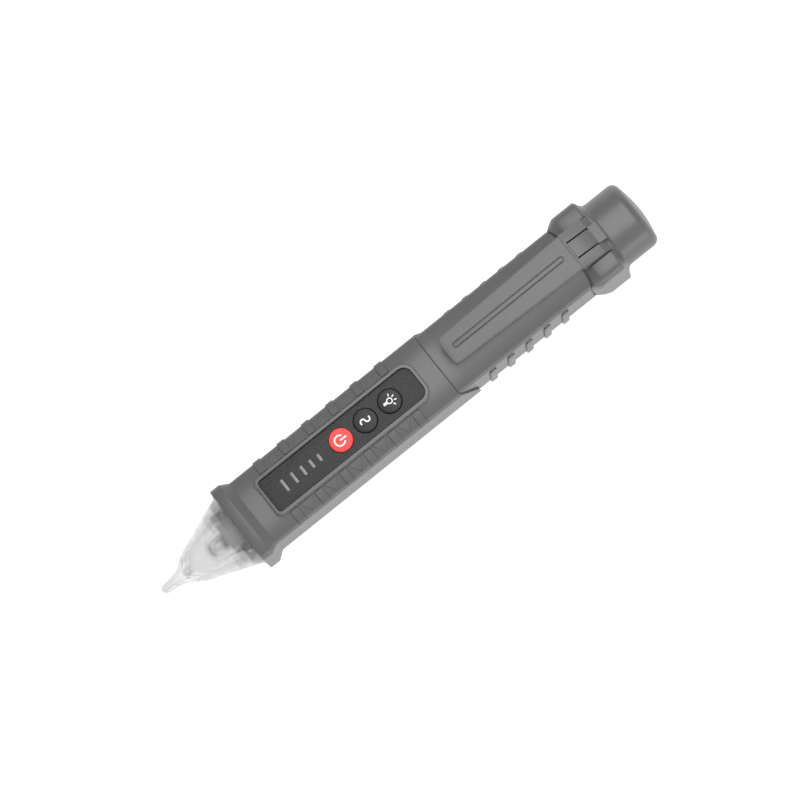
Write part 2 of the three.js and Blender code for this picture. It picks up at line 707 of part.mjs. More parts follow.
// Pocket clip blade, its root in the collar's channel, and the latch between the root's arms
function addClip() {
  const front = rearX - clipReach;
  const rear = rootFrontX - gap;
  const frontTop = sleeve.rise + clipFrontRise;
  const foot = sleeve.rise + footLift;
  const side = outline([
    [front, frontTop - 0.5],
    [front, frontTop - clipThickness],
    [front + 1.2, frontTop - clipThickness - 0.1],
    [front + footSetback, foot],
    [front + footSetback + footLength, foot],
    [front + footSetback + 5, frontTop - clipThickness + 0.1],
    [rear, clipRearTop - clipThickness],
    [rear, clipRearTop],
    [front + 1.3, frontTop],
  ]);
  const plan = new THREE.Shape();
  const [cornerX, cornerY] = [front + clipCorner, clipFrontHalf - clipCorner];
  plan.moveTo(rear, -clipRearHalf);
  plan.lineTo(rear, clipRearHalf);
  plan.absarc(cornerX, cornerY, clipCorner, Math.PI / 2, Math.PI);
  plan.absarc(cornerX, -cornerY, clipCorner, Math.PI, 1.5 * Math.PI);
  const blade = alongY(side, -beyond, beyond).intersect(alongZ(cleaned(plan), 0, beyond));
  const rise = (x) => frontTop + ((clipRearTop - frontTop) * (x - front)) / (rear - front);
  const [ribFront, ribRear] = [front + clipRibSetbacks[0], rear - clipRibSetbacks[1]];
  const ribSide = outline([
    [ribFront, rise(ribFront) - 0.6],
    [ribRear, rise(ribRear) - 0.6],
    [ribRear, rise(ribRear) + clipRibHeight],
    [ribFront, rise(ribFront) + clipRibHeight],
  ]);
  const ribPlan = roundedRectangle(ribFront, ribRear, clipRib / 2, clipRib / 2 - 0.01);
  const rib = alongY(ribSide, -clipRib, clipRib).intersect(alongZ(ribPlan, 0, beyond));
  addPiece("pocket_clip", join(blade, rib), "clip");
  addClipRoot();
}

function addClipRoot() {
  const bendX = rearX + bendSetback;
  const drop = clipRearTop - bendDrop;
  const slotX = rootFrontX + latchSetback;
  const rootRear = rootFrontX + clipRootLength;
  const side = outline([
    [rootFrontX, channelFloor + gap],
    [rootRear, channelFloor + gap],
    [rootRear, drop - 0.6],
    [bendX, drop],
    [rootFrontX, clipRearTop],
  ]);
  const slotHalf = latchHalf + gap;
  const slot = join(
    block(slotX, rootRear + 1, -slotHalf, slotHalf, channelFloor + latchFloor, beyond),
    block(bendX - 0.4, rootRear + 1, -slotHalf, slotHalf, channelFloor, beyond),
  );
  const root = cut(alongY(side, -clipRootHalf, clipRootHalf), slot);
  addPiece("clip_root", root, "clip");
  const latchFront = slotX + gap;
  const latchEnd = rearX + latchEndSetback;
  const latchTop = clipRearTop - latchSink;
  const tongue = outline([
    [latchFront, latchTop - latchThickness],
    [bendX, drop - latchThickness],
    [bendX + 1.1, drop - latchThickness - 0.1],
    [latchEnd - 0.6, channelFloor + latchFloor + 0.1],
    [latchEnd, channelFloor + latchFloor + 0.3],
    [latchEnd - 0.4, drop - 1.2],
    [bendX + 1.3, drop - 0.4],
    [bendX, drop - 0.05],
    [latchFront, latchTop],
  ]);
  addPiece("cap_latch", alongY(tongue, -latchHalf, latchHalf), "clip");
}

addHousing();
addControls();
addTip();
addNoseParts();
addElectronics();
addPower();
addSleeve();
addTailCap();
addClip();

pen.position.z = restDrop;
const tester = new THREE.Group();
tester.add(pen);

export default tester;
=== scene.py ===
import math

import bmesh
import bpy
from mathutils import Matrix, Vector


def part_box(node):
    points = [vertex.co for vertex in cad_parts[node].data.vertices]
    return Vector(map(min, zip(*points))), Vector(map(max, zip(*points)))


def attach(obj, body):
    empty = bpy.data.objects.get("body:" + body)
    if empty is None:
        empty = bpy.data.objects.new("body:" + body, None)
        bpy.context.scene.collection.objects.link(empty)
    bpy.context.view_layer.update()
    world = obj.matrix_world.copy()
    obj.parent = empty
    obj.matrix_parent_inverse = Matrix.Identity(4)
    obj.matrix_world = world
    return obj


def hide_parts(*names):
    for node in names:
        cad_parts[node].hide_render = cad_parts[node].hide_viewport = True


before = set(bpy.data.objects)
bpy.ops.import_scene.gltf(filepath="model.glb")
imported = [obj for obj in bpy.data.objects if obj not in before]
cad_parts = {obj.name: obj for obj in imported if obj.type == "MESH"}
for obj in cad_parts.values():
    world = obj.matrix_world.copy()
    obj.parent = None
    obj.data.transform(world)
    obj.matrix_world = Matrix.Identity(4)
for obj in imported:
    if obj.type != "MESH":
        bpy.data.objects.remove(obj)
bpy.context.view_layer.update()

# The pieces are drawn in millimetres, with heights from the pen's axis, and put in place at the end.
mm = 0.001
contactLow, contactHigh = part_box("tail_contact")
axisZ = (contactLow.z + contactHigh.z) / 2
toFrame = Matrix.Translation((0, 0, axisZ)) @ Matrix.Scale(mm, 4)


def nodeBox(node):
    low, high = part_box(node)
    shift = Vector((0, 0, axisZ))
    return (low - shift) / mm, (high - shift) / mm


tipLow = nodeBox("probe_tip")[0]
topLow, topHigh = nodeBox("front_housing_top")
sleeveHigh = nodeBox("rear_sleeve")[1]
capHigh = nodeBox("tail_cap")[1]
labelLow, labelHigh = nodeBox("label_plate")

seams = {
    "noseX": tipLow.x,
    "frontX": topLow.x,
    "cheekReach": 5.0,  # how far the housing's lower side reaches past its top
    "cheekTop": 7.3,
    "cheekFoot": -2.4,
    "rearCheekReach": 1.5,
    "rearCheekTop": 8.6,
    "rearCheekFoot": 6.2,
    "partingHeight": -1.0,
    "partingGap": 0.12,
    "fineGap": 0.08,
    "capGap": 0.34,
    "rearLap": 4.5,  # of the sleeve inside the cap
}
collarProud = 1.35  # of both collars past the body
seamX = topHigh.x - seams["cheekReach"]
rearX = sleeveHigh.x - seams["rearLap"]
tailX = capHigh.x
restDrop = -nodeBox("front_housing_bottom")[0].z

bodySection = {
    "half": topHigh.y - collarProud,
    "rise": labelHigh.z + 0.3,
    "drop": restDrop - collarProud,
    "crown": 18.0,
    "underCrown": 18.0,
    "corner": 1.8,
}


# The same section drawn in all round, with any measure given anew
def resized(section, by=0.0, **changes):
    made = {k: v - by if v else 0 for k, v in section.items()}
    made["corner"] = max(section["corner"] - by, 0.5)
    made.update(changes)
    return made


sleeveSection = resized(
    bodySection,
    half=bodySection["half"] - 0.6,
    rise=bodySection["rise"] - 0.35,
    drop=bodySection["drop"] - 0.4,
)
frontCollar = resized(bodySection, by=-collarProud, crown=22.0, underCrown=0, corner=3.0)
rearCollar = resized(frontCollar, half=sleeveSection["half"] + 1.55, crown=32.0)


# A quarter of a section: flat side, rounded corner, then a crown or a flat top
def quarter(half, reach, crown, corner):
    aside = half - corner
    height, turn = reach - corner, math.pi / 2
    if crown:
        above = math.sqrt((crown - corner) ** 2 - aside**2)
        height, turn = reach - crown + above, math.atan2(above, aside)
    points = [(half, height * i / 3) for i in range(3)]
    for i in range(9):
        angle = turn * i / 8
        points.append((aside + corner * math.cos(angle), height + corner * math.sin(angle)))
    for i in range(1, 9):
        if crown:
            angle = turn + (math.pi / 2 - turn) * i / 8
            points.append((crown * math.cos(angle), reach - crown + crown * math.sin(angle)))
        else:
            points.append((aside * (1 - i / 8), reach))
    return points


def sectionPoints(section):
    up = quarter(section["half"], section["rise"], section["crown"], section["corner"])
    down = quarter(section["half"], section["drop"], section["underCrown"], section["corner"])
    points = list(up)
    points += [(-y, z) for y, z in reversed(up[:-1])]
    points += [(-y, -z) for y, z in down[1:]]
    points += [(y, -z) for y, z in reversed(down[1:-1])]
    return points


def roundPoints(radius, like):
    points = []
    for y, z in sectionPoints(like):
        reach = math.hypot(y, z)
        points.append((y * radius / reach, z * radius / reach))
    return points


def blended(first, second, share):
    pairs = zip(first, second)
    return [(a[0] + (b[0] - a[0]) * share, a[1] + (b[1] - a[1]) * share) for a, b in pairs]


# A ring's place along the pen may be a number, or follow the height round a seam
def ring(bm, x, points):
    made = bmesh.ops.create_circle(bm, segments=len(points), radius=1)["verts"]
    for vert, (y, z) in zip(made, points):
        vert.co = ((x(z) if callable(x) else x), y, z)
    verts = set(made)
    return [e for e in bm.edges if e.verts[0] in verts and e.verts[1] in verts]


def loft(bm, stations, closed=False):
    rings = [ring(bm, x, points) for x, points in stations]
    following = rings[1:] + (rings[:1] if closed else [])
    for near, far in zip(rings, following):
        bmesh.ops.bridge_loops(bm, edges=near + far)
    if not closed:
        bmesh.ops.holes_fill(bm, edges=rings[0] + rings[-1], sides=0)


def latheX(bm, profile, steps=64):
    verts = [bm.verts.new((x, 0, r)) for x, r in profile]
    edges = [bm.edges.new(pair) for pair in zip(verts, verts[1:])]
    bmesh.ops.spin(
        bm, geom=verts + edges, cent=(0, 0, 0), axis=(1, 0, 0), steps=steps, angle=2 * math.pi,
        use_merge=True,
    )
    bmesh.ops.remove_doubles(bm, verts=bm.verts, dist=1e-4)


def arcProfile(centreX, centreR, radius, start, stop, steps=8):
    angles = [start + (stop - start) * i / steps for i in range(steps + 1)]
    return [(centreX + radius * math.cos(a), centreR + radius * math.sin(a)) for a in angles]


# A plate with four corners, each with its own radius
def flatPlate(bm, corners, z0, z1, radii, segments=8):
    made = [bm.verts.new((x, y, z0)) for x, y in corners]
    bm.faces.new(made)
    for radius in sorted(set(r for r in radii if r)):
        sharp = [v for v, r in zip(made, radii) if r == radius and v.is_valid]
        bmesh.ops.bevel(
            bm, geom=sharp, offset=radius, offset_type="OFFSET", segments=segments, profile=0.5,
            affect="VERTICES", material=-1,
        )
    face = [f for f in bm.faces if all(abs(v.co.z - z0) < 1e-6 for v in f.verts)][-1]
    grown = bmesh.ops.extrude_face_region(bm, geom=[face])["geom"]
    bmesh.ops.translate(bm, verts=vertsOf(grown), vec=(0, 0, z1 - z0))
    bmesh.ops.recalc_face_normals(bm, faces=bm.faces)


def seatCorners(x0, x1, half):
    return [(x0, -half), (x1, -half), (x1, half), (x0, half)]


def sideEdges(bm, test):
    return [e for e in bm.edges if all(test(v.co) for v in e.verts)]


def edgesAlong(bm, axis, length):
    return [e for e in bm.edges if abs(e.verts[0].co[axis] - e.verts[1].co[axis]) > length]


def vertsOf(geom):
    return [g for g in geom if isinstance(g, bmesh.types.BMVert)]


# A box from its lowest and highest corner
def box(bm, low, high):
    low, high = Vector(low), Vector(high)
    made = bmesh.ops.create_cube(bm, size=1)["verts"]
    bmesh.ops.scale(bm, verts=made, vec=high - low)
    bmesh.ops.translate(bm, verts=made, vec=(low + high) / 2)
    return made


def roundEdges(bm, edges, width, segments=3):
    bmesh.ops.bevel(
        bm, geom=edges, offset=width, offset_type="OFFSET", segments=segments, profile=0.5,
        affect="EDGES", clamp_overlap=True, material=-1,
    )


# The line where the housing meets the sleeve, at a height
def seamLine(z):
    share = min(max((seams["cheekTop"] - z) / (seams["cheekTop"] - seams["cheekFoot"]), 0), 1)
    return seamX + seams["cheekReach"] * share


# The line where the sleeve meets the cap
def rearLine(z):
    top, foot = seams["rearCheekTop"], seams["rearCheekFoot"]
    share = min(max((top - abs(z)) / (top - foot), 0), 1)
    return rearX - seams["rearCheekReach"] * share


def newObject(bm, name):
    bmesh.ops.remove_doubles(bm, verts=bm.verts, dist=1e-5)
    bmesh.ops.recalc_face_normals(bm, faces=bm.faces)
    mesh = bpy.data.meshes.new(name)
    bm.to_mesh(mesh)
    bm.free()
    obj = bpy.data.objects.new(name, mesh)
    bpy.context.scene.collection.objects.link(obj)
    return obj


def applyModifiers(obj):
    depsgraph = bpy.context.evaluated_depsgraph_get()
    mesh = bpy.data.meshes.new_from_object(obj.evaluated_get(depsgraph))
    obj.modifiers.clear()
    old = obj.data
    obj.data = mesh
    bpy.data.meshes.remove(old)


def combine(obj, other, operation):
    modifier = obj.modifiers.new("join", "BOOLEAN")
    modifier.operation = operation
    modifier.solver = "EXACT"
    modifier.object = other
    applyModifiers(obj)
    bpy.data.objects.remove(other)
    return obj


def bevelled(obj, width, segments=2, angle=32):
    modifier = obj.modifiers.new("edges", "BEVEL")
    modifier.width = width
    modifier.segments = segments
    modifier.limit_method = "ANGLE"
    modifier.angle_limit = math.radians(angle)
    modifier.use_clamp_overlap = True
    applyModifiers(obj)
    return obj


def finishPiece(obj, material, body, nodes=(), sharp=34):
    obj.data.transform(toFrame)
    obj.data.materials.clear()
    obj.data.materials.append(material)
    obj.data.shade_smooth()
    obj.data.set_sharp_from_angle(angle=math.radians(sharp))
    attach(obj, body)
    if nodes:
        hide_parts(*nodes)
    return obj


def shader(name, color, roughness=0.5, **sockets):
    material = bpy.data.materials.new(name)
    material.use_nodes = True
    tree = material.node_tree
    principled = tree.nodes["Principled BSDF"]
    principled.inputs["Base Color"].default_value = (*color, 1)
    principled.inputs["Roughness"].default_value = roughness
    for socket, value in sockets.items():
        principled.inputs[socket.replace("_", " ")].default_value = value
    coordinates = tree.nodes.new("ShaderNodeTexCoord")
    return material, tree, principled, coordinates.outputs["Object"]


def noise(tree, where, scale, detail=3.0, rough=0.55):
    made = tree.nodes.new("ShaderNodeTexNoise")
    made.inputs["Scale"].default_value = scale
    made.inputs["Detail"].default_value = detail
    made.inputs["Roughness"].default_value = rough
    tree.links.new(where, made.inputs["Vector"])
    return made.outputs["Fac"]


def spread(tree, value, low, high, start=0.3, stop=0.7):
    made = tree.nodes.new("ShaderNodeMapRange")
    for socket, number in zip(("From Min", "From Max", "To Min", "To Max"), (start, stop, low, high)):
        made.inputs[socket].default_value = number
    tree.links.new(value, made.inputs["Value"])
    return made.outputs["Result"]


def tint(tree, principled, value, dark, light):
    ramp = tree.nodes.new("ShaderNodeValToRGB")
    ramp.color_ramp.elements[0].color = (*dark, 1)
    ramp.color_ramp.elements[1].color = (*light, 1)
    tree.links.new(value, ramp.inputs["Fac"])
    tree.links.new(ramp.outputs["Color"], principled.inputs["Base Color"])


def bump(tree, principled, heights):
    last = None
    for value, depth in heights:
        made = tree.nodes.new("ShaderNodeBump")
        made.inputs["Strength"].default_value = 1.0
        made.inputs["Distance"].default_value = depth
        tree.links.new(value, made.inputs["Height"])
        if last:
            tree.links.new(last, made.inputs["Normal"])
        last = made.outputs["Normal"]
    tree.links.new(last, principled.inputs["Normal"])


def grey(value):
    return (value,) * 3


def mouldedPlastic(name, level, grain=3200, depth=0.000012, rough=(0.42, 0.56)):
    material, tree, principled, where = shader(name, grey(level))
    fine = noise(tree, where, grain, 2.0)
    broad = noise(tree, where, 90, 4.0)
    tint(tree, principled, broad, grey(level * 0.94), grey(level * 1.05))
    tree.links.new(spread(tree, fine, *rough), principled.inputs["Roughness"])
    bump(tree, principled, [(fine, depth)])
    return material


def keyPlastic(name, dark, light):
    material, tree, principled, where = shader(name, light, Specular_IOR_Level=0.3)
    fine = noise(tree, where, 2600, 2.0)
    tint(tree, principled, noise(tree, where, 260), dark, light)
    tree.links.new(spread(tree, fine, 0.4, 0.52), principled.inputs["Roughness"])
    bump(tree, principled, [(fine, 0.000004)])
    return material


def printedLabel():
    material, tree, principled, where = shader("printedLabel", grey(0.045), Specular_IOR_Level=0.25)
    grain = noise(tree, where, 2600, 3.0, 0.75)
    tint(tree, principled, spread(tree, grain, 0, 1, 0.35, 0.65), grey(0.022), grey(0.075))
    tree.links.new(spread(tree, grain, 0.5, 0.68), principled.inputs["Roughness"])
    bump(tree, principled, [(grain, 0.00003)])
    return material


def barLens():
    material, tree, principled, where = shader("barLens", grey(0.34), 0.4)
    grain = noise(tree, where, 3000, 3.0, 0.7)
    tint(tree, principled, grain, grey(0.15), grey(0.36))
    bump(tree, principled, [(grain, 0.00002)])
    return material


def clearPlastic(name, color, roughness, clear, alpha, solid=None):
    material, tree, principled, where = shader(
        name, grey(color), roughness, IOR=1.46, Transmission_Weight=clear, Alpha=alpha
    )
    flow = noise(tree, where, 240, 2.0)
    bump(tree, principled, [(flow, 0.000003)])
    tree.links.new(
        spread(tree, noise(tree, where, 900), roughness * 0.7, roughness * 1.3),
        principled.inputs["Roughness"],
    )
    if solid:
        split = tree.nodes.new("ShaderNodeSeparateXYZ")
        tree.links.new(where, split.inputs["Vector"])
        along = spread(tree, split.outputs["X"], 0, 1, solid["from"] * mm, solid["to"] * mm)
        tint(tree, principled, along, grey(solid["color"]), grey(color))
        tree.links.new(spread(tree, along, solid["alpha"], alpha, 0, 1), principled.inputs["Alpha"])
    return material


def bareMetal(name, color, rough):
    material, tree, principled, where = shader(name, color, rough, Metallic=1.0)
    mapping = tree.nodes.new("ShaderNodeMapping")
    mapping.inputs["Scale"].default_value = (1, 12, 12)  # brushed along the pen
    tree.links.new(where, mapping.inputs["Vector"])
    brushed = noise(tree, mapping.outputs["Vector"], 900, 3.0)
    tint(tree, principled, brushed, tuple(c * 0.8 for c in color), color)
    tree.links.new(spread(tree, brushed, rough * 0.7, rough * 1.4), principled.inputs["Roughness"])
    bump(tree, principled, [(brushed, 0.000004)])
    return material


def circuitBoard():
    material, tree, principled, where = shader("circuitBoard", (0.02, 0.13, 0.05), 0.4)
    tracks = tree.nodes.new("ShaderNodeTexBrick")
    tracks.inputs["Scale"].default_value = 320
    tracks.inputs["Mortar Size"].default_value = 0.04
    tracks.inputs["Color1"].default_value = (0.016, 0.11, 0.04, 1)
    tracks.inputs["Color2"].default_value = (0.02, 0.14, 0.055, 1)
    tracks.inputs["Mortar"].default_value = (0.05, 0.24, 0.09, 1)
    tree.links.new(where, tracks.inputs["Vector"])
    tree.links.new(tracks.outputs["Color"], principled.inputs["Base Color"])
    bump(tree, principled, [(tracks.outputs["Fac"], 0.00003)])
    return material


def cellWrap(name, startX, length):
    material, tree, principled, where = shader(name, grey(0.02), 0.3, Metallic=0.6)
    split = tree.nodes.new("ShaderNodeSeparateXYZ")
    tree.links.new(where, split.inputs["Vector"])
    along = spread(tree, split.outputs["X"], 0, 1, startX * mm, (startX + length) * mm)
    ramp = tree.nodes.new("ShaderNodeValToRGB")
    ramp.color_ramp.interpolation = "CONSTANT"
    stops = [(0.0, grey(0.62)), (0.035, (0.55, 0.30, 0.12)), (0.3, grey(0.02)), (0.985, grey(0.55))]
    while len(ramp.color_ramp.elements) < len(stops):
        ramp.color_ramp.elements.new(0.5)
    for element, (position, color) in zip(ramp.color_ramp.elements, stops):
        element.position = position
        element.color = (*color, 1)
    tree.links.new(along, ramp.inputs["Fac"])
    tree.links.new(ramp.outputs["Color"], principled.inputs["Base Color"])
    tree.links.new(spread(tree, noise(tree, where, 500), 0.22, 0.36), principled.inputs["Roughness"])
    return material


# Thick clear plastic shows darker
solidNose = {"from": tipLow.x + 4, "to": tipLow.x + 11, "color": 0.74, "alpha": 0.95}
finishes = {
    "casing": mouldedPlastic("casingPlastic", 0.125, rough=(0.3, 0.42)),
    "clip": mouldedPlastic("clipPlastic", 0.13, rough=(0.34, 0.46)),
    "label": printedLabel(),
    "redKey": keyPlastic("redKeyPlastic", (0.86, 0.075, 0.075), (0.96, 0.1, 0.095)),
    "blackKey": keyPlastic("blackKeyPlastic", grey(0.022), grey(0.034)),
    "mark": mouldedPlastic("markPaint", 0.92, 2400, 0.000004, (0.35, 0.45)),
    "bar": barLens(),
    "tip": clearPlastic("clearTip", 0.75, 0.015, 0.9, 0.58, solidNose),
    "lampGlass": clearPlastic("lampGlass", 0.9, 0.03, 0.9, 0.8),
    "holder": mouldedPlastic("holderPlastic", 0.42, 2400, 0.00001, (0.4, 0.55)),
    "board": circuitBoard(),
    "chip": mouldedPlastic("chipEpoxy", 0.014, 4000, 0.00001, (0.5, 0.65)),
    "steel": bareMetal("nickelSteel", (0.62, 0.63, 0.65), 0.28),
    "brass": bareMetal("tinnedBrass", (0.72, 0.55, 0.26), 0.3),
    "redLamp": keyPlastic("redLampLens", (0.5, 0.03, 0.02), (0.7, 0.06, 0.04)),
}
print("materials ready")

housing = {
    "wall": 1.5,
    "bore": 9.25,
    "collarLand": 3.0,
    "chamfer": 2.4,
    "edge": 0.25,
    "lip": 1.1,
    "lipTop": labelHigh.z + 0.7,
    "recessFloor": labelLow.z - 0.1,
    "seatFloor": labelLow.z - 1.6,
    "cornerFront": 1.9,
    "cornerRear": 3.6,
    "recessSlack": 0.12,
    "lipEdge": 0.38,
    "holeTop": 14,  # above everything that the holes go through
    "keySlack": 0.25,
    "barSlack": 0.2,
}


def housingShell():
    bm = bmesh.new()
    x0 = seams["frontX"]
    bodyRing = sectionPoints(bodySection)
    inner = sectionPoints(resized(bodySection, by=housing["wall"]))
    bore = roundPoints(housing["bore"], frontCollar)
    collar = sectionPoints(frontCollar)
    edge = housing["edge"]
    land = x0 + housing["collarLand"]
    foot = land + housing["chamfer"]
    stations = [
        (x0, bore),
        (x0, sectionPoints(resized(frontCollar, by=edge))),
        (x0 + edge * 0.3, sectionPoints(resized(frontCollar, by=edge * 0.3))),
        (x0 + edge, collar),
        (land, collar),
        (foot, bodyRing),
        (foot + 0.5, bodyRing),
    ]
    stations += [(foot + (seamX - foot) * i / 6, bodyRing) for i in range(1, 6)]
    stations += [
        (lambda z: seamLine(z) - 0.5, bodyRing),
        (lambda z: seamLine(z) - 0.12, bodyRing),
        (seamLine, sectionPoints(resized(bodySection, by=0.12))),
        (seamLine, inner),
        (foot + 0.2, inner),
        (foot + 0.2, bore),
    ]
    loft(bm, stations, closed=True)
    return newObject(bm, "housingShell")


def halved(obj, name, keepTop):
    bm = bmesh.new()
    bm.from_mesh(obj.data)
    gap = seams["partingGap"] / 2
    height = seams["partingHeight"] + (gap if keepTop else -gap)
    everything = bm.verts[:] + bm.edges[:] + bm.faces[:]
    bmesh.ops.bisect_plane(
        bm, geom=everything, dist=1e-5, plane_co=(0, 0, height), plane_no=(0, 0, 1),
        clear_inner=keepTop, clear_outer=not keepTop,
    )
    rim = [e for e in bm.edges if e.is_boundary]
    bmesh.ops.holes_fill(bm, edges=rim, sides=0)
    return newObject(bm, name)


def labelSeat():
    bm = bmesh.new()
    half = (labelHigh.y - labelLow.y) / 2 + housing["lip"]
    corners = seatCorners(labelLow.x - housing["lip"], labelHigh.x + housing["lip"], half)
    front, rear = housing["cornerFront"], housing["cornerRear"]
    flatPlate(bm, corners, housing["seatFloor"], housing["lipTop"], (front, rear, rear, front), 10)
    rim = sideEdges(bm, lambda co: co.z > housing["lipTop"] - 1e-4)
    roundEdges(bm, rim, housing["lipEdge"], 4)
    return newObject(bm, "labelSeat")


def labelRecess():
    bm = bmesh.new()
    slack = housing["recessSlack"]
    half = (labelHigh.y - labelLow.y) / 2 + slack
    corners = seatCorners(labelLow.x - slack, labelHigh.x + slack, half)
    front, rear = housing["cornerFront"] - 0.7, housing["cornerRear"] - 0.9
    radii = (front, rear, rear, front)
    flatPlate(bm, corners, housing["recessFloor"], housing["lipTop"] + 1, radii)
    return newObject(bm, "labelRecess")


def keyCutters(extra, low, high):
    bm = bmesh.new()
    for node in ("power_button", "sensitivity_button", "lamp_button"):
        a, b = nodeBox(node)
        radius = (b.x - a.x) / 2 - key["flange"] + extra
        made = bmesh.ops.create_cone(
            bm, cap_ends=True, segments=48, radius1=radius, radius2=radius, depth=high - low
        )
        bmesh.ops.translate(bm, verts=made["verts"], vec=((a.x + b.x) / 2, 0, (low + high) / 2))
    return newObject(bm, "keyCutters")


def barCutters(extra, low, high):
    bm = bmesh.new()
    for i in range(1, 6):
        a, b = nodeBox(f"light_bar_{i}")
        grown = extra - bar["inset"]
        halfY = (b.y - a.y) / 2 + grown
        box(bm, (a.x - grown, -halfY, low), (b.x + grown, halfY, high))
    return newObject(bm, "barCutters")


# Raised bars down each shoulder, with a pointed tooth between each two
grip = {
    "first": 2.1,
    "count": 6,
    "pitch": 8.11,
    "length": 2.4,
    "inner": 6.3,
    "reach": 4.4,
    "rise": 0.46,
    "tooth": 4.3,
    "toothPoint": 0.25,
    "toothReach": 3.2,
    "toothRise": 0.3,
}


# A point on the housing's shoulder, measured along its curve from the relief's inner end
def shoulderPoint(reach, lift):
    crown, corner = bodySection["crown"], bodySection["corner"]
    aside = bodySection["half"] - corner
    meet, start = math.asin(aside / (crown - corner)), math.asin(grip["inner"] / crown)
    flat = crown * (meet - start)
    base = bodySection["rise"] - crown
    if reach < flat:
        angle = start + reach / crown
        return (crown + lift) * math.sin(angle), base + (crown + lift) * math.cos(angle)
    angle = min(meet + (reach - flat) / corner, math.pi / 2)
    centre = base + (crown - corner) * math.cos(meet)
    return aside + (corner + lift) * math.sin(angle), centre + (corner + lift) * math.cos(angle)


def reliefPlate(bm, foot, apex, reach, side, rise):
    made = bmesh.ops.create_grid(bm, x_segments=6, y_segments=8, size=0.5)["verts"]
    faces = list(dict.fromkeys(f for v in made for f in v.link_faces))
    grown = bmesh.ops.extrude_face_region(bm, geom=faces)["geom"]
    # The buried face is a little larger than the raised one, so the sides slope
    for verts, lift, spare in ((made, -0.5, 0.34), (vertsOf(grown), rise, -0.1)):
        for vert in verts:
            u, v = vert.co.x + 0.5, vert.co.y + 0.5
            near = foot[0] - spare + (foot[1] - foot[0] + 2 * spare) * u
            far = apex[0] - spare + (apex[1] - apex[0] + 2 * spare) * u
            y, z = shoulderPoint((reach + spare) * v, lift)
            vert.co = (near + (far - near) * v, side * y, z)


def gripRelief():
    bm = bmesh.new()
    start = labelLow.x + grip["first"]
    for side in (-1, 1):
        for i in range(grip["count"]):
            x = start + i * grip["pitch"]
            end = x + grip["length"]
            reliefPlate(bm, (x, end), (x, end), grip["reach"], side, grip["rise"])
            if i < grip["count"] - 1:
                middle = (end + x + grip["pitch"]) / 2
                half, point = grip["tooth"] / 2, grip["toothPoint"]
                foot, apex = (middle - half, middle + half), (middle - point, middle + point)
                reliefPlate(bm, foot, apex, grip["toothReach"], side, grip["toothRise"])
    bmesh.ops.recalc_face_normals(bm, faces=bm.faces)
    return newObject(bm, "gripRelief")


def makeHousing():
    whole = housingShell()
    top = halved(whole, "housingTopShell", True)
    bottom = halved(whole, "housingBottomShell", False)
    bpy.data.objects.remove(whole)
    combine(top, labelSeat(), "UNION")
    combine(top, labelRecess(), "DIFFERENCE")
    holes = (housing["seatFloor"] - 1, housing["holeTop"])
    combine(top, keyCutters(housing["keySlack"], *holes), "DIFFERENCE")
    combine(top, barCutters(housing["barSlack"], *holes), "DIFFERENCE")
    combine(top, gripRelief(), "UNION")
    finishPiece(top, finishes["casing"], "root", ["front_housing_top"], 26)
    finishPiece(bottom, finishes["casing"], "root", ["front_housing_bottom"], 26)
    print("housing done", len(top.data.polygons), len(bottom.data.polygons))


label = {"cornerFront": 1.3, "cornerRear": 2.6, "edge": 0.12, "keySlack": 0.16, "barSlack": 0.05}


def makeLabel():
    bm = bmesh.new()
    half = (labelHigh.y - labelLow.y) / 2
    corners = seatCorners(labelLow.x, labelHigh.x, half)
    front, rear = label["cornerFront"], label["cornerRear"]
    flatPlate(bm, corners, labelLow.z, labelHigh.z, (front, rear, rear, front))
    roundEdges(bm, sideEdges(bm, lambda co: co.z > labelHigh.z - 1e-4), label["edge"], 2)
    plate = newObject(bm, "labelPlate")
    holes = (labelLow.z - 1, housing["holeTop"])
    combine(plate, keyCutters(label["keySlack"], *holes), "DIFFERENCE")
    combine(plate, barCutters(label["barSlack"], *holes), "DIFFERENCE")
    finishPiece(plate, finishes["label"], "root", ["label_plate"])


bar = {"inset": 0.12, "corner": 0.18, "edge": 0.08}


def makeLightBars():
    for i in range(1, 6):
        low, high = nodeBox(f"light_bar_{i}")
        bm = bmesh.new()
        inset = Vector((bar["inset"], bar["inset"], 0))
        box(bm, low + inset, high - inset)
        roundEdges(bm, edgesAlong(bm, 2, 1), bar["corner"], 3)
        roundEdges(bm, sideEdges(bm, lambda co: co.z > high.z - 1e-4), bar["edge"], 2)
        piece = newObject(bm, f"lightBar{i}")
        finishPiece(piece, finishes["bar"], "root", [f"light_bar_{i}"])


key = {"dome": 0.17, "shoulder": 0.35, "flange": 0.65, "flangeHeight": 0.6, "flangeEdge": 0.1}
mark = {
    "proud": 0.05,
    "sunk": 0.12,
    "stroke": 0.42,
    "thinStroke": 0.3,
    "powerArc": 1.4,
    "waveArc": 0.68,
    "bulbArc": 0.72,
}


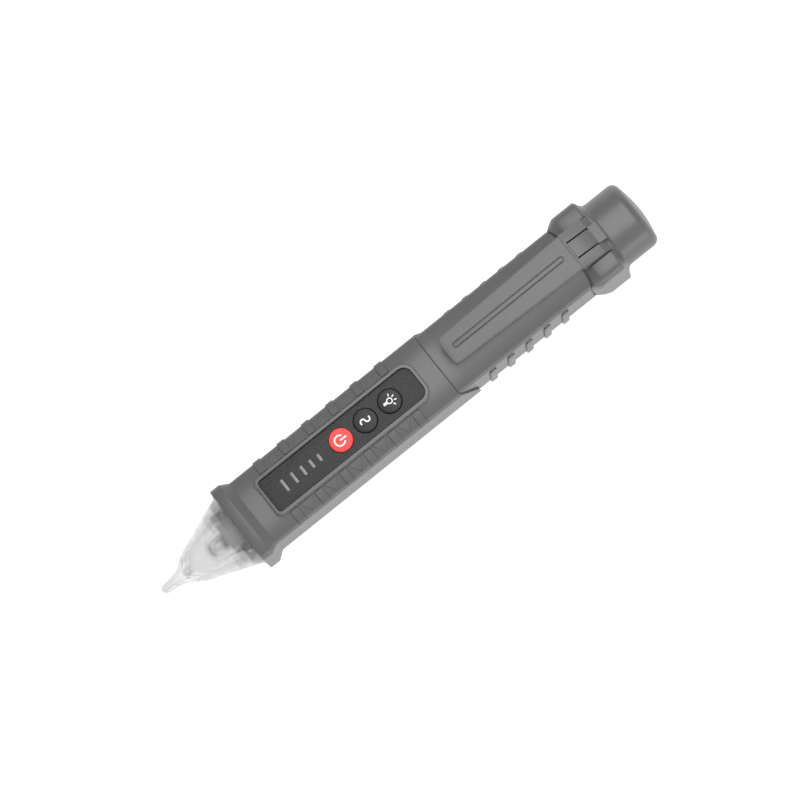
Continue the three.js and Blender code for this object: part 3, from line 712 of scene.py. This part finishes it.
def keyShape(node, name):
    low, high = nodeBox(node)
    bm = bmesh.new()
    outer = (high.x - low.x) / 2
    radius = outer - key["flange"]
    shoulder, edge = key["shoulder"], key["flangeEdge"]
    top, flangeTop = high.z, low.z + key["flangeHeight"]
    profile = [(low.z, 0), (low.z, outer - edge), (low.z + edge, outer)]
    profile += [(flangeTop, outer), (flangeTop, radius)]
    bend = (top - key["dome"] - shoulder, radius - shoulder, shoulder)
    profile += arcProfile(*bend, math.pi / 2, 0.25, 6)
    domeStart = profile[-1][1]
    for share in (0.85, 0.65, 0.45, 0.22, 0):
        profile.append((top - key["dome"] * share**2, domeStart * share))
    latheX(bm, profile)  # turned about X, then stood up
    turn = Matrix.Rotation(-math.pi / 2, 4, "Y")
    bmesh.ops.transform(bm, matrix=turn, verts=bm.verts)
    bmesh.ops.translate(bm, verts=bm.verts, vec=((low.x + high.x) / 2, 0, 0))
    return newObject(bm, name), (low.x + high.x) / 2, top, radius


def arcStroke(bm, centre, radius, width, start, stop, steps):
    x, y = centre
    ends = (radius - width / 2, radius + width / 2)
    verts = [bm.verts.new((x + r * math.cos(start), y + r * math.sin(start), 0)) for r in ends]
    edge = bm.edges.new(verts)
    bmesh.ops.spin(
        bm, geom=verts + [edge], cent=(x, y, 0), axis=(0, 0, 1), steps=steps, angle=stop - start
    )


def lineStroke(bm, first, second, width):
    a, b = Vector(first), Vector(second)
    along = (b - a).normalized() * width / 2
    across = Vector((-along.y, along.x))
    corners = [a - across, b - across, b + across, a + across]
    bm.faces.new([bm.verts.new((c.x, c.y, 0)) for c in corners])


def keyMark(name, draw, centreX, top, radius, body):
    bm = bmesh.new()
    draw(bm)
    bmesh.ops.remove_doubles(bm, verts=bm.verts, dist=1e-4)
    bmesh.ops.recalc_face_normals(bm, faces=bm.faces)
    for face in bm.faces:
        if face.normal.z < 0:
            face.normal_flip()
    longEdges = [e for e in bm.edges if e.calc_length() > 0.35]
    bmesh.ops.subdivide_edges(bm, edges=longEdges, cuts=3, use_grid_fill=True)
    grown = bmesh.ops.extrude_face_region(bm, geom=bm.faces[:])["geom"]
    raised = set(vertsOf(grown))
    for vert in bm.verts:
        share = vert.co.to_2d().length / radius
        surface = top - key["dome"] * share**2
        vert.co.z = surface + (mark["proud"] if vert in raised else -mark["sunk"])
        vert.co.x += centreX
    finishPiece(newObject(bm, name), finishes["mark"], body)


def powerMark(bm):
    gap = math.radians(36)
    arcStroke(bm, (-0.3, 0), mark["powerArc"], mark["stroke"], gap, 2 * math.pi - gap, 40)
    lineStroke(bm, (-0.2, 0), (1.8, 0), mark["stroke"] - 0.02)


def waveMark(bm):
    for side in (1, -1):
        start = 0 if side > 0 else math.pi
        radius, stroke = mark["waveArc"], mark["stroke"]
        arcStroke(bm, (-radius * side, 0), radius, stroke, start, start + math.pi, 20)
        end = -2 * radius * side
        lineStroke(bm, (end, 0), (end, -0.45 * side), stroke)


def lampMark(bm):
    radius, stroke = mark["bulbArc"], mark["thinStroke"]
    arcStroke(bm, (0, 0), radius, stroke, 0, 2 * math.pi, 36)
    lineStroke(bm, (-0.82, 0), (-1.9, 0), radius)
    for angle in (-66, -22, 22, 66):
        turn = Vector((math.cos(math.radians(angle)), math.sin(math.radians(angle))))
        lineStroke(bm, turn * 1.2, turn * 1.95, stroke)


def makeKeys():
    keys = [
        ("power_button", "powerKey", "redKey", "power_key", powerMark),
        ("sensitivity_button", "sensitivityKey", "blackKey", "sensitivity_key", waveMark),
        ("lamp_button", "lampKey", "blackKey", "lamp_key", lampMark),
    ]
    for node, name, finish, body, draw in keys:
        piece, centreX, top, radius = keyShape(node, name)
        finishPiece(piece, finishes[finish], body, [node], 40)
        keyMark(name + "Mark", draw, centreX, top, radius, body)


makeHousing()
makeLabel()
makeLightBars()
makeKeys()
print("label, bars and keys done")

tip = {
    "shoulder": 10.7,
    "shoulderHalf": 5.05,
    "cone": 10.8,
    "flange": 0.45,
    "spigot": 8.95,
    "spigotReach": 4.3,
    "wall": 1.1,
    "noseHalf": 0.85,
    "noseDepth": 2.3,
    "round": 30,  # a half width so large that the section stays round
}


# Half the width of the flat nose, seen from above
def planHalf(x):
    along = x - seams["noseX"]
    if along < tip["noseHalf"]:
        return math.sqrt(max(tip["noseHalf"] ** 2 - (tip["noseHalf"] - along) ** 2, 0.0004))
    knots = [(0.8, 0.92), (2.5, 0.98), (4.2, 1.12), (5.4, 1.4)]
    knots += [(6.6, 1.78), (7.9, 2.75), (9.2, 4.1), (10.4, 5.2)]
    for (a, left), (b, right) in zip(knots, knots[1:]):
        if along <= b:
            share = max((along - a) / (b - a), 0)
            return left + (right - left) * (share * share * (3 - 2 * share) * 0.35 + share * 0.65)
    return tip["round"]


def coneRadius(x):
    along = x - seams["noseX"]
    if along < tip["shoulder"]:
        share = along / tip["shoulder"]
        edge = min(along / 1.6, 1)
        rounded = math.sqrt(max(1 - (1 - edge) ** 2, 0.02))
        return (tip["noseDepth"] + (tip["shoulderHalf"] - tip["noseDepth"]) * share) * rounded
    share = (along - tip["shoulder"]) / (seams["frontX"] - 0.15 - seams["noseX"] - tip["shoulder"])
    return tip["shoulderHalf"] + (tip["cone"] - tip["shoulderHalf"]) * share


# A circle pressed flat on both sides, without a corner
def tipSection(radius, half=tip["round"]):
    points = []
    for i in range(96):
        angle = 2 * math.pi * i / 96
        y, z = radius * math.cos(angle), radius * math.sin(angle)
        squeeze = (1 + (abs(y) / half) ** 10) ** 0.1
        points.append((y / squeeze, z))
    return points


def makeTip():
    bm = bmesh.new()
    front, nose = seams["frontX"], seams["noseX"]
    base = front - 0.12
    outer = [nose + d for d in (0.02, 0.08, 0.2, 0.4, 0.7, 1.1, 1.6, 2.4, 3.4, 4.2, 4.8, 5.4, 6.0, 6.6)]
    outer += [nose + 7 + 0.35 * i for i in range(12)]
    outer += [nose + 12 + (base - 0.2 - nose - 12) * i / 5 for i in range(6)]
    stations = [(x, tipSection(coneRadius(x), planHalf(x))) for x in outer]
    rim, spigot, end = tip["cone"] + tip["flange"], tip["spigot"], front + tip["spigotReach"]
    flange = [(base - 0.2, rim - 0.05), (base - 0.15, rim), (base, rim), (base, spigot), (end, spigot)]
    wall = tip["wall"]
    hollow = [(end, spigot - wall), (front - 1.2, spigot - wall)]
    hollow += [(front - 2.4, tip["cone"] - wall - 0.95)]
    start = nose + tip["shoulder"]
    for i in range(1, 6):
        x = front - 2.4 + (start - front + 2.4) * i / 5
        hollow.append((x, coneRadius(x) - wall))
    hollow += [(start - 1.2, 2.7), (start - 2.2, 1.6), (start - 3.0, 0.8), (start - 3.4, 0.3)]
    stations += [(x, tipSection(radius)) for x, radius in flange + hollow]
    loft(bm, stations)
    piece = newObject(bm, "clearTip")
    finishPiece(piece, finishes["tip"], "root", ["probe_tip"], 40)


holder = {
    "wall": 1.1,
    "floor": 1.4,
    "hub": 3.5,
    "chamfer": 0.3,
    "slot": 2.6,
    "slotBack": 0.5,
    "edge": 0.2,
}


def makeLampHolder():
    low, high = nodeBox("lamp_holder")
    radius = (high.y - low.y) / 2
    bm = bmesh.new()
    inner, chamfer, floor = radius - holder["wall"], holder["chamfer"], high.x - holder["floor"]
    hub, hubFront = holder["hub"], seams["frontX"]
    profile = [(high.x, 0.0), (high.x, radius - chamfer), (high.x - chamfer, radius)]
    profile += [(low.x + 0.4, radius), (low.x, radius - 0.35), (low.x, inner + 0.2)]
    profile += [(low.x + chamfer, inner), (floor, inner), (floor, hub)]
    profile += [(hubFront + chamfer, hub), (hubFront, hub - chamfer), (hubFront, 0.0)]
    latheX(bm, profile, 72)
    piece = newObject(bm, "lampHolder")
    slots = bmesh.new()
    half = holder["slot"] / 2
    for angle in (45, 135):
        made = box(slots, (low.x - 1, -15, -half), (hubFront - holder["slotBack"], 15, half))
        turn = Matrix.Rotation(math.radians(angle), 3, "X")
        bmesh.ops.rotate(slots, verts=made, matrix=turn)
    combine(piece, newObject(slots, "holderSlots"), "DIFFERENCE")
    bevelled(piece, holder["edge"], 2, 50)
    finishPiece(piece, finishes["holder"], "root", ["lamp_holder"])


lamp = {"radius": 2.5, "length": 7.6, "flange": 0.4, "flangeLength": 1, "lead": 0.5, "leadSide": 1.27}


def makeNoseLamp():
    low, high = nodeBox("nose_lamp")
    radius, front = lamp["radius"], low.x
    flangeFront, flange = front + lamp["length"], radius + lamp["flange"]
    flangeRear = flangeFront + lamp["flangeLength"]
    bm = bmesh.new()
    profile = arcProfile(front + radius, 0, radius, math.pi, math.pi / 2, 12)
    profile += [(flangeFront, radius), (flangeFront, flange), (flangeRear, flange), (flangeRear, 0)]
    profile[0] = (front, 0)
    latheX(bm, profile, 48)
    glass = newObject(bm, "noseLamp")
    finishPiece(glass, finishes["lampGlass"], "root", ["nose_lamp"], 40)
    bm = bmesh.new()
    cup = [(4.4, 0), (4.4, 0.5), (3.9, 1.0), (3.9, 1.25), (5.2, 1.1), (6.6, 0.6), (6.6, 0)]
    latheX(bm, [(front + along, r) for along, r in cup], 32)
    thick = lamp["lead"]
    for side in (-1, 1):
        near, far = side * lamp["leadSide"] - thick / 2, side * lamp["leadSide"] + thick / 2
        box(bm, (flangeFront - 1.6, near, -thick / 2), (high.x, far, thick / 2))
        box(bm, (high.x - thick, near, -0.1), (high.x, far, high.z + 0.1))  # up to the board
    leads = newObject(bm, "noseLampLeads")
    finishPiece(leads, finishes["steel"], "root", (), 40)


makeTip()
makeLampHolder()
makeNoseLamp()
print("tip, holder and lamp done")

sleeve = {
    "lapFront": 4.4,
    "edge": 0.12,
    "bore": {"half": 7.45, "rise": 7.3, "drop": 8.05, "crown": 14.0, "underCrown": 14.0, "corner": 1.2},
    "ribFirst": 10.2,
    "ribPitch": 6.02,
    "ribCount": 5,
    "ribSlant": 6,
    "ribLength": 2.1,
    "ribCorner": 0.7,
    "ribEdge": 0.2,
    "ribTop": 4.6,
    "ribFoot": -7.4,
    "ribProud": 0.5,
    "ribDepth": 1.2,
}


def makeSleeve():
    bm = bmesh.new()
    outer = sectionPoints(sleeveSection)
    lapFront = sectionPoints(resized(bodySection, by=housing["wall"] + 0.3))
    lapRear = sectionPoints(resized(sleeveSection, by=0.6))
    inner = sectionPoints(sleeve["bore"])
    gap, edge = seams["fineGap"], sleeve["edge"]
    stations = [
        (seamX - sleeve["lapFront"], inner),
        (seamX - sleeve["lapFront"], lapFront),
        (lambda z: seamLine(z) + gap, lapFront),
        (lambda z: seamLine(z) + gap, sectionPoints(resized(sleeveSection, by=edge))),
        (lambda z: seamLine(z) + gap + edge, outer),
        (lambda z: seamLine(z) + gap + 0.6, outer),
    ]
    start, stop = seamX + 6.4, rearX - 2.6
    stations += [(start + (stop - start) * i / 5, outer) for i in range(6)]
    stations += [
        (lambda z: rearLine(z) - edge, outer),
        (rearLine, sectionPoints(resized(sleeveSection, by=edge))),
        (rearLine, lapRear),
        (sleeveHigh.x - 0.3, lapRear),
        (sleeveHigh.x, sectionPoints(resized(sleeveSection, by=0.9))),
        (sleeveHigh.x, inner),
    ]
    loft(bm, stations, closed=True)
    tube = newObject(bm, "ribbedSleeve")
    combine(tube, sleeveRibs(), "UNION")
    finishPiece(tube, finishes["casing"], "root", ["rear_sleeve"], 26)


def sleeveRibs():
    bm = bmesh.new()
    half = Vector((sleeve["ribLength"], sleeve["ribDepth"], sleeve["ribTop"] - sleeve["ribFoot"])) / 2
    proud = sleeve["ribProud"]
    box(bm, -half, half)
    roundEdges(bm, edgesAlong(bm, 1, 0.5), sleeve["ribCorner"], 5)
    bmesh.ops.translate(bm, verts=bm.verts, vec=(0, proud - half.y, 0))
    roundEdges(bm, sideEdges(bm, lambda co: co.y > proud - 1e-4), sleeve["ribEdge"], 3)
    for vert in bm.verts:
        vert.co.x += vert.co.z * math.tan(math.radians(sleeve["ribSlant"]))
    middle = (sleeve["ribTop"] + sleeve["ribFoot"]) / 2
    place = (seamX + sleeve["ribFirst"], sleeveSection["half"], middle)
    bmesh.ops.translate(bm, verts=bm.verts, vec=place)
    single = bm.verts[:] + bm.edges[:] + bm.faces[:]
    for i in range(1, sleeve["ribCount"]):
        copied = vertsOf(bmesh.ops.duplicate(bm, geom=single)["geom"])
        bmesh.ops.translate(bm, verts=copied, vec=(i * sleeve["ribPitch"], 0, 0))
    everything = bm.verts[:] + bm.edges[:] + bm.faces[:]
    mirrored = vertsOf(bmesh.ops.duplicate(bm, geom=everything)["geom"])
    bmesh.ops.scale(bm, verts=mirrored, vec=(1, -1, 1))
    return newObject(bm, "sleeveRibs")


makeSleeve()
print("sleeve done")

cap = {
    "radius": sleeveSection["drop"] + 0.25,
    "bore": 8.4,
    "endWall": 3.6,
    "springHole": 1.5,
    "fillet": 2.3,
    "dome": 0.9,
    "pocketEnd": 4.8,
    "chamferFront": 2.3,
    "landRear": 8.9,
    "step": 1.35,
    "channelHalf": 5.85,
    "channelEnd": 11.4,
    "channelLength": 14,
    "channelDepth": 12,
    "channelCorner": 0.5,
}


def makeTailCap():
    bm = bmesh.new()
    collar = sectionPoints(rearCollar)
    lap = resized(sleeveSection, by=0.6)
    pocket = sectionPoints(resized(lap, by=-0.3))
    bore = roundPoints(cap["bore"], rearCollar)
    circle = roundPoints(cap["radius"], rearCollar)
    innerX = tailX - cap["endWall"]
    gap = seams["capGap"]
    lip = resized(rearCollar, by=cap["step"] + 0.15)
    start, chamfer = rearX + cap["pocketEnd"], gap + cap["chamferFront"]
    stations = [
        (innerX, roundPoints(cap["springHole"], rearCollar)),
        (innerX, bore),
        (start, bore),
        (start, pocket),
        (lambda z: rearLine(z) + gap, pocket),
        (lambda z: rearLine(z) + gap, sectionPoints(lip)),
        (lambda z: rearLine(z) + gap + 0.15, sectionPoints(resized(rearCollar, by=cap["step"]))),
        (lambda z: rearLine(z) + chamfer - 0.2, sectionPoints(resized(rearCollar, by=0.08))),
        (lambda z: rearLine(z) + chamfer + 0.1, collar),
        (rearX + 5, collar),
    ]
    # From the square collar to the round end: how far along, and how round
    turn = ((-0.35, 0), (-0.1, 0.02), (0.12, 0.07), (0.32, 0.16), (0.5, 0.27), (0.8, 0.46), (1.1, 0.65))
    turn += ((1.4, 0.82), (1.65, 0.92), (1.95, 0.98), (2.4, 1))
    land = rearX + cap["landRear"]
    stations += [(land + ahead, blended(collar, circle, share)) for ahead, share in turn]
    stations += [(land + ahead, circle) for ahead in (3.4, 6, 9)]
    endX = tailX - cap["dome"]
    for i in range(9):
        angle = math.pi / 2 * i / 8
        x = endX - cap["fillet"] * (1 - math.sin(angle))
        radius = cap["radius"] - cap["fillet"] * (1 - math.cos(angle))
        stations.append((x, roundPoints(radius, rearCollar)))
    flatRadius = cap["radius"] - cap["fillet"]
    for share in (0.8, 0.55, 0.3, 0.08):
        stations.append((tailX - cap["dome"] * share**2, roundPoints(flatRadius * share, rearCollar)))
    loft(bm, stations)
    body = newObject(bm, "tailCap")
    cutter = bmesh.new()
    floor, half = nodeBox("clip_root")[0].z - 0.3, cap["channelHalf"]
    end = rearX + cap["channelEnd"]
    low, high = (end - cap["channelLength"], -half, floor), (end, half, floor + cap["channelDepth"])
    box(cutter, low, high)
    foot = [e for e in edgesAlong(cutter, 0, 5) if e.verts[0].co.z < floor + 1]
    roundEdges(cutter, foot, cap["channelCorner"], 3)
    combine(body, newObject(cutter, "clipChannel"), "DIFFERENCE")
    finishPiece(body, finishes["casing"], "cap", ["tail_cap"], 26)


makeTailCap()
print("tail cap done")

clip = {
    "frontHalf": 4.15,
    "rearHalf": 5.35,
    "thickness": 2.1,
    "slope": 0.66,  # how much lower its free end lies
    "corner": 1.5,
    "edge": 0.26,
    "ribFront": 2.8,
    "ribRear": 2.5,
    "ribHalf": 0.55,
    "ribHeight": 0.4,
    "grooveWidth": 0.36,
    "grooveDepth": 0.5,
    "lipInset": 0.14,
    "footFront": 2.6,
    "footLength": 2.6,
}


def clipTop(x, low, high):
    return high.z - clip["ribHeight"] - 0.04 - clip["slope"] * (high.x - x) / (high.x - low.x)


def makeClip():
    low, high = nodeBox("pocket_clip")
    bm = bmesh.new()
    front, rear = clip["frontHalf"], clip["rearHalf"]
    end = high.x + 0.06
    corners = [(low.x, -front), (end, -rear), (end, rear), (low.x, front)]
    flatPlate(bm, corners, -clip["thickness"], 0, (clip["corner"], 0, 0, clip["corner"]))
    # The rear end stays sharp, where it meets the root
    top = sideEdges(bm, lambda co: co.z > -1e-4)
    roundEdges(bm, [e for e in top if min(v.co.x for v in e.verts) < high.x - 0.01], clip["edge"], 3)
    under = sideEdges(bm, lambda co: co.z < -clip["thickness"] + 1e-4)
    roundEdges(bm, [e for e in under if min(v.co.x for v in e.verts) < high.x - 0.01], 0.25, 2)
    for vert in bm.verts:
        vert.co.z += clipTop(vert.co.x, low, high)
    blade = newObject(bm, "pocketClip")
    combine(blade, clipPill(low, high, clip["grooveWidth"], -clip["grooveDepth"], 1), "DIFFERENCE")
    combine(blade, clipPill(low, high, 0, -1, clip["ribHeight"] - 0.12), "UNION")
    combine(blade, clipLip(low, high), "UNION")
    combine(blade, clipFoot(low, high), "UNION")
    finishPiece(blade, finishes["clip"], "clip", ["pocket_clip"], 30)


# The raised rib along the blade, or the groove it stands in
def clipPill(low, high, grown, z0, z1):
    bm = bmesh.new()
    half = clip["ribHalf"] + grown
    x0, x1 = low.x + clip["ribFront"] - grown, high.x - clip["ribRear"] + grown
    flatPlate(bm, seatCorners(x0, x1, half), z0, z1, (half * 0.98,) * 4, 10)
    if not grown:
        roundEdges(bm, sideEdges(bm, lambda co: co.z > z1 - 1e-4), 0.18, 3)
    for vert in bm.verts:
        vert.co.z += clipTop(vert.co.x, low, high)
    return newObject(bm, "clipPill")


def clipLip(low, high):
    bm = bmesh.new()
    inset = clip["lipInset"]
    front, rear = low.x + inset, low.x + clip["footFront"] + 0.6
    under = clipTop(low.x, low, high) - clip["thickness"] + 0.3
    corners = seatCorners(front, rear, clip["frontHalf"] - inset)
    flatPlate(bm, corners, low.z + 0.12, under, (clip["corner"], 0, 0, clip["corner"]))
    roundEdges(bm, sideEdges(bm, lambda co: co.z < low.z + 0.2), 0.3, 3)
    return newObject(bm, "clipLip")


def clipFoot(low, high):
    bm = bmesh.new()
    x0, half = low.x + clip["footFront"], clip["frontHalf"] - 0.6
    top = clipTop(x0, low, high) - clip["thickness"] + 0.4
    box(bm, (x0, -half, low.z), (x0 + clip["footLength"], half, top))
    for vert in bm.verts:
        if vert.co.z > (low.z + top) / 2:  # wider where it meets the blade
            vert.co.x += 1.6 if vert.co.x > x0 + 1 else -0.9
    roundEdges(bm, sideEdges(bm, lambda co: co.z < low.z + 0.1), 0.7, 4)
    return newObject(bm, "clipFoot")


root = {
    "bend": 7.6,  # behind the sleeve's rear edge, where the root turns down
    "slot": 0.42,
    "web": 0.8,
    "overlap": 0.3,
    "dip": 1.65,
    "edge": 0.14,
}
latch = {"thickness": 1.4, "tabSlack": 0.08, "edge": 0.06}


# An outline seen from the side, drawn out across the pen
def sidePlate(outline, near, far, name):
    bm = bmesh.new()
    face = bm.faces.new([bm.verts.new((x, near, z)) for x, z in outline])
    grown = bmesh.ops.extrude_face_region(bm, geom=[face])["geom"]
    bmesh.ops.translate(bm, verts=vertsOf(grown), vec=(0, far - near, 0))
    return newObject(bm, name)


def makeClipRoot():
    low, high = nodeBox("clip_root")
    latchLow, latchHigh = nodeBox("cap_latch")
    bend, drop = rearX + root["bend"], high.z - root["dip"]
    inner = latchHigh.y + root["slot"]
    front = (low.x - 0.14, high.z)
    sides = [(low.x + 0.1, low.z), (high.x, low.z), (high.x, drop - 2.1), (high.x - 0.5, drop - 1.5)]
    sides += [(bend, drop), front]
    base = sidePlate(sides, -high.y, -inner, "clipRoot")
    combine(base, sidePlate(sides, inner, high.y, "clipRootArm"), "UNION")
    wide, end = inner + root["overlap"], latchLow.x - 0.5
    fall = (high.z - drop) / (bend - front[0]) * (end - front[0])
    bridge = [(low.x + 0.1, low.z), (end, low.z), (end, high.z - fall), front]
    combine(base, sidePlate(bridge, -wide, wide, "clipRootBridge"), "UNION")
    floor = low.z + root["web"]
    web = [(end - 0.5, low.z), (bend - 0.4, low.z), (bend - 0.4, floor), (end - 0.5, floor)]
    combine(base, sidePlate(web, -wide, wide, "clipRootWeb"), "UNION")
    bevelled(base, root["edge"], 2, 40)
    finishPiece(base, finishes["clip"], "cap", ["clip_root"], 30)


def makeLatch():
    low, high = nodeBox("cap_latch")
    rootLow, rootHigh = nodeBox("clip_root")
    bend, drop = rearX + root["bend"], rootHigh.z - root["dip"]
    front = low.x - root["slot"]
    slope = (rootHigh.z - drop) / (bend - rootLow.x)
    top = rootHigh.z - slope * (front - rootLow.x) - 0.03
    thick = latch["thickness"]
    outline = [(front, top - thick), (bend, drop - thick), (bend + 1.3, drop - thick - 0.2)]
    outline += [(high.x - 0.6, low.z + 0.05), (high.x, low.z + 0.2)]
    outline += [(high.x - 0.1, drop - 0.75), (high.x - 0.45, drop - 0.4)]
    outline += [(bend + 0.28, drop - 0.02), (bend + 0.2, drop - 0.45)]  # the crease across the bend
    outline += [(bend - 0.12, drop - 0.45), (bend - 0.2, drop + 0.01), (front, top)]
    tongue = sidePlate(outline, -high.y, high.y, "capLatch")
    tab = [(bend + 0.28, drop - thick), *outline[2:8]]  # behind the crease it is wider
    wide = high.y + root["slot"] - latch["tabSlack"]
    combine(tongue, sidePlate(tab, -wide, wide, "latchTab"), "UNION")
    bevelled(tongue, latch["edge"], 2, 50)
    finishPiece(tongue, finishes["clip"], "latch", ["cap_latch"], 30)


makeClip()
makeClipRoot()
makeLatch()
print("clip done")

# The frame's own meshes for what lies inside, each with its finish
carriedOver = {
    "sensing_strip": "steel",
    "front_contact": "brass",
    "contact_rail": "brass",
    "tail_contact": "brass",
    "cell_spring": "steel",
    "circuit_board": "board",
    "control_chip": "chip",
    "buzzer": "chip",
    "alarm_lamp": "redLamp",
}
carriedOver.update({f"key_switch_{i}": "steel" for i in range(1, 4)})
carriedOver.update({f"bar_lamp_{i}": "redLamp" for i in range(1, 6)})
for cell in ("front_cell", "rear_cell"):
    low, high = nodeBox(cell)
    finishes[cell] = cellWrap(cell + "Wrap", low.x, high.x - low.x)
    carriedOver[cell] = cell
for node, finish in carriedOver.items():
    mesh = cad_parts[node].data
    mesh.materials.clear()
    mesh.materials.append(finishes[finish])
print("inner parts finished")

studio = {
    "distance": 4.0,  # metres, through a long lens
    "frameWidth": 0.2093,
    "target": (-0.00023, 0.00026, axisZ),
    "tilt": -0.6,
    "side": 10.0,
    "rise": 38.74,  # degrees that the pen points up across the frame
    "floorShade": 0.12,
    "floorGlow": 1.03,
    "worldGlow": 0.25,
}
# name: place, aim, size in metres and watts
lights = {
    "keyLight": ((0.15, 0.12, 0.8), (0.15, 0.12, 0), (0.5, 1.2), 7.6),
    "sideLight": ((0, -0.8, 0.05), (0, 0, 0.01), (1.2, 0.06), 2.7),
}


def makeFloor():
    bm = bmesh.new()
    bmesh.ops.create_grid(bm, x_segments=2, y_segments=2, size=3)
    floor = newObject(bm, "floor")
    glow = {"Emission_Color": (1, 1, 1, 1), "Emission_Strength": studio["floorGlow"]}
    floor.data.materials.append(shader("paleFloor", grey(studio["floorShade"]), 0.9, **glow)[0])


def makeCamera():
    side, tilt = math.radians(studio["side"]), math.radians(studio["tilt"])
    level = math.cos(tilt)
    back = Vector((-math.sin(tilt), -math.sin(side) * level, math.cos(side) * level))
    along = (Vector((1, 0, 0)) - back * back.x).normalized()
    across = back.cross(along)
    turn = math.radians(studio["rise"])
    right = along * math.cos(turn) - across * math.sin(turn)
    up = along * math.sin(turn) + across * math.cos(turn)
    data = bpy.data.cameras.new("camera")
    data.lens = data.sensor_width * studio["distance"] / studio["frameWidth"]
    data.clip_start = 0.01
    camera = bpy.data.objects.new("camera", data)
    place = Matrix.Translation(Vector(studio["target"]) + back * studio["distance"])
    camera.matrix_world = place @ Matrix((right, up, back)).transposed().to_4x4()
    bpy.context.scene.collection.objects.link(camera)
    bpy.context.scene.camera = camera


def addLight(name, place, target, size, power):
    data = bpy.data.lights.new(name, "AREA")
    data.shape = "RECTANGLE"
    data.size, data.size_y = size
    data.energy = power
    light = bpy.data.objects.new(name, data)
    light.location = place
    light.rotation_euler = (Vector(target) - Vector(place)).to_track_quat("-Z", "Y").to_euler()
    bpy.context.scene.collection.objects.link(light)


def makeLight():
    world = bpy.data.worlds.new("studio")
    bpy.context.scene.world = world
    world.use_nodes = True
    background = world.node_tree.nodes["Background"]
    background.inputs["Color"].default_value = (1, 1, 1, 1)
    background.inputs["Strength"].default_value = studio["worldGlow"]
    for name, setting in lights.items():
        addLight(name, *setting)
    bpy.context.scene.view_settings.view_transform = "Standard"


makeFloor()
makeCamera()
makeLight()
print("studio done")
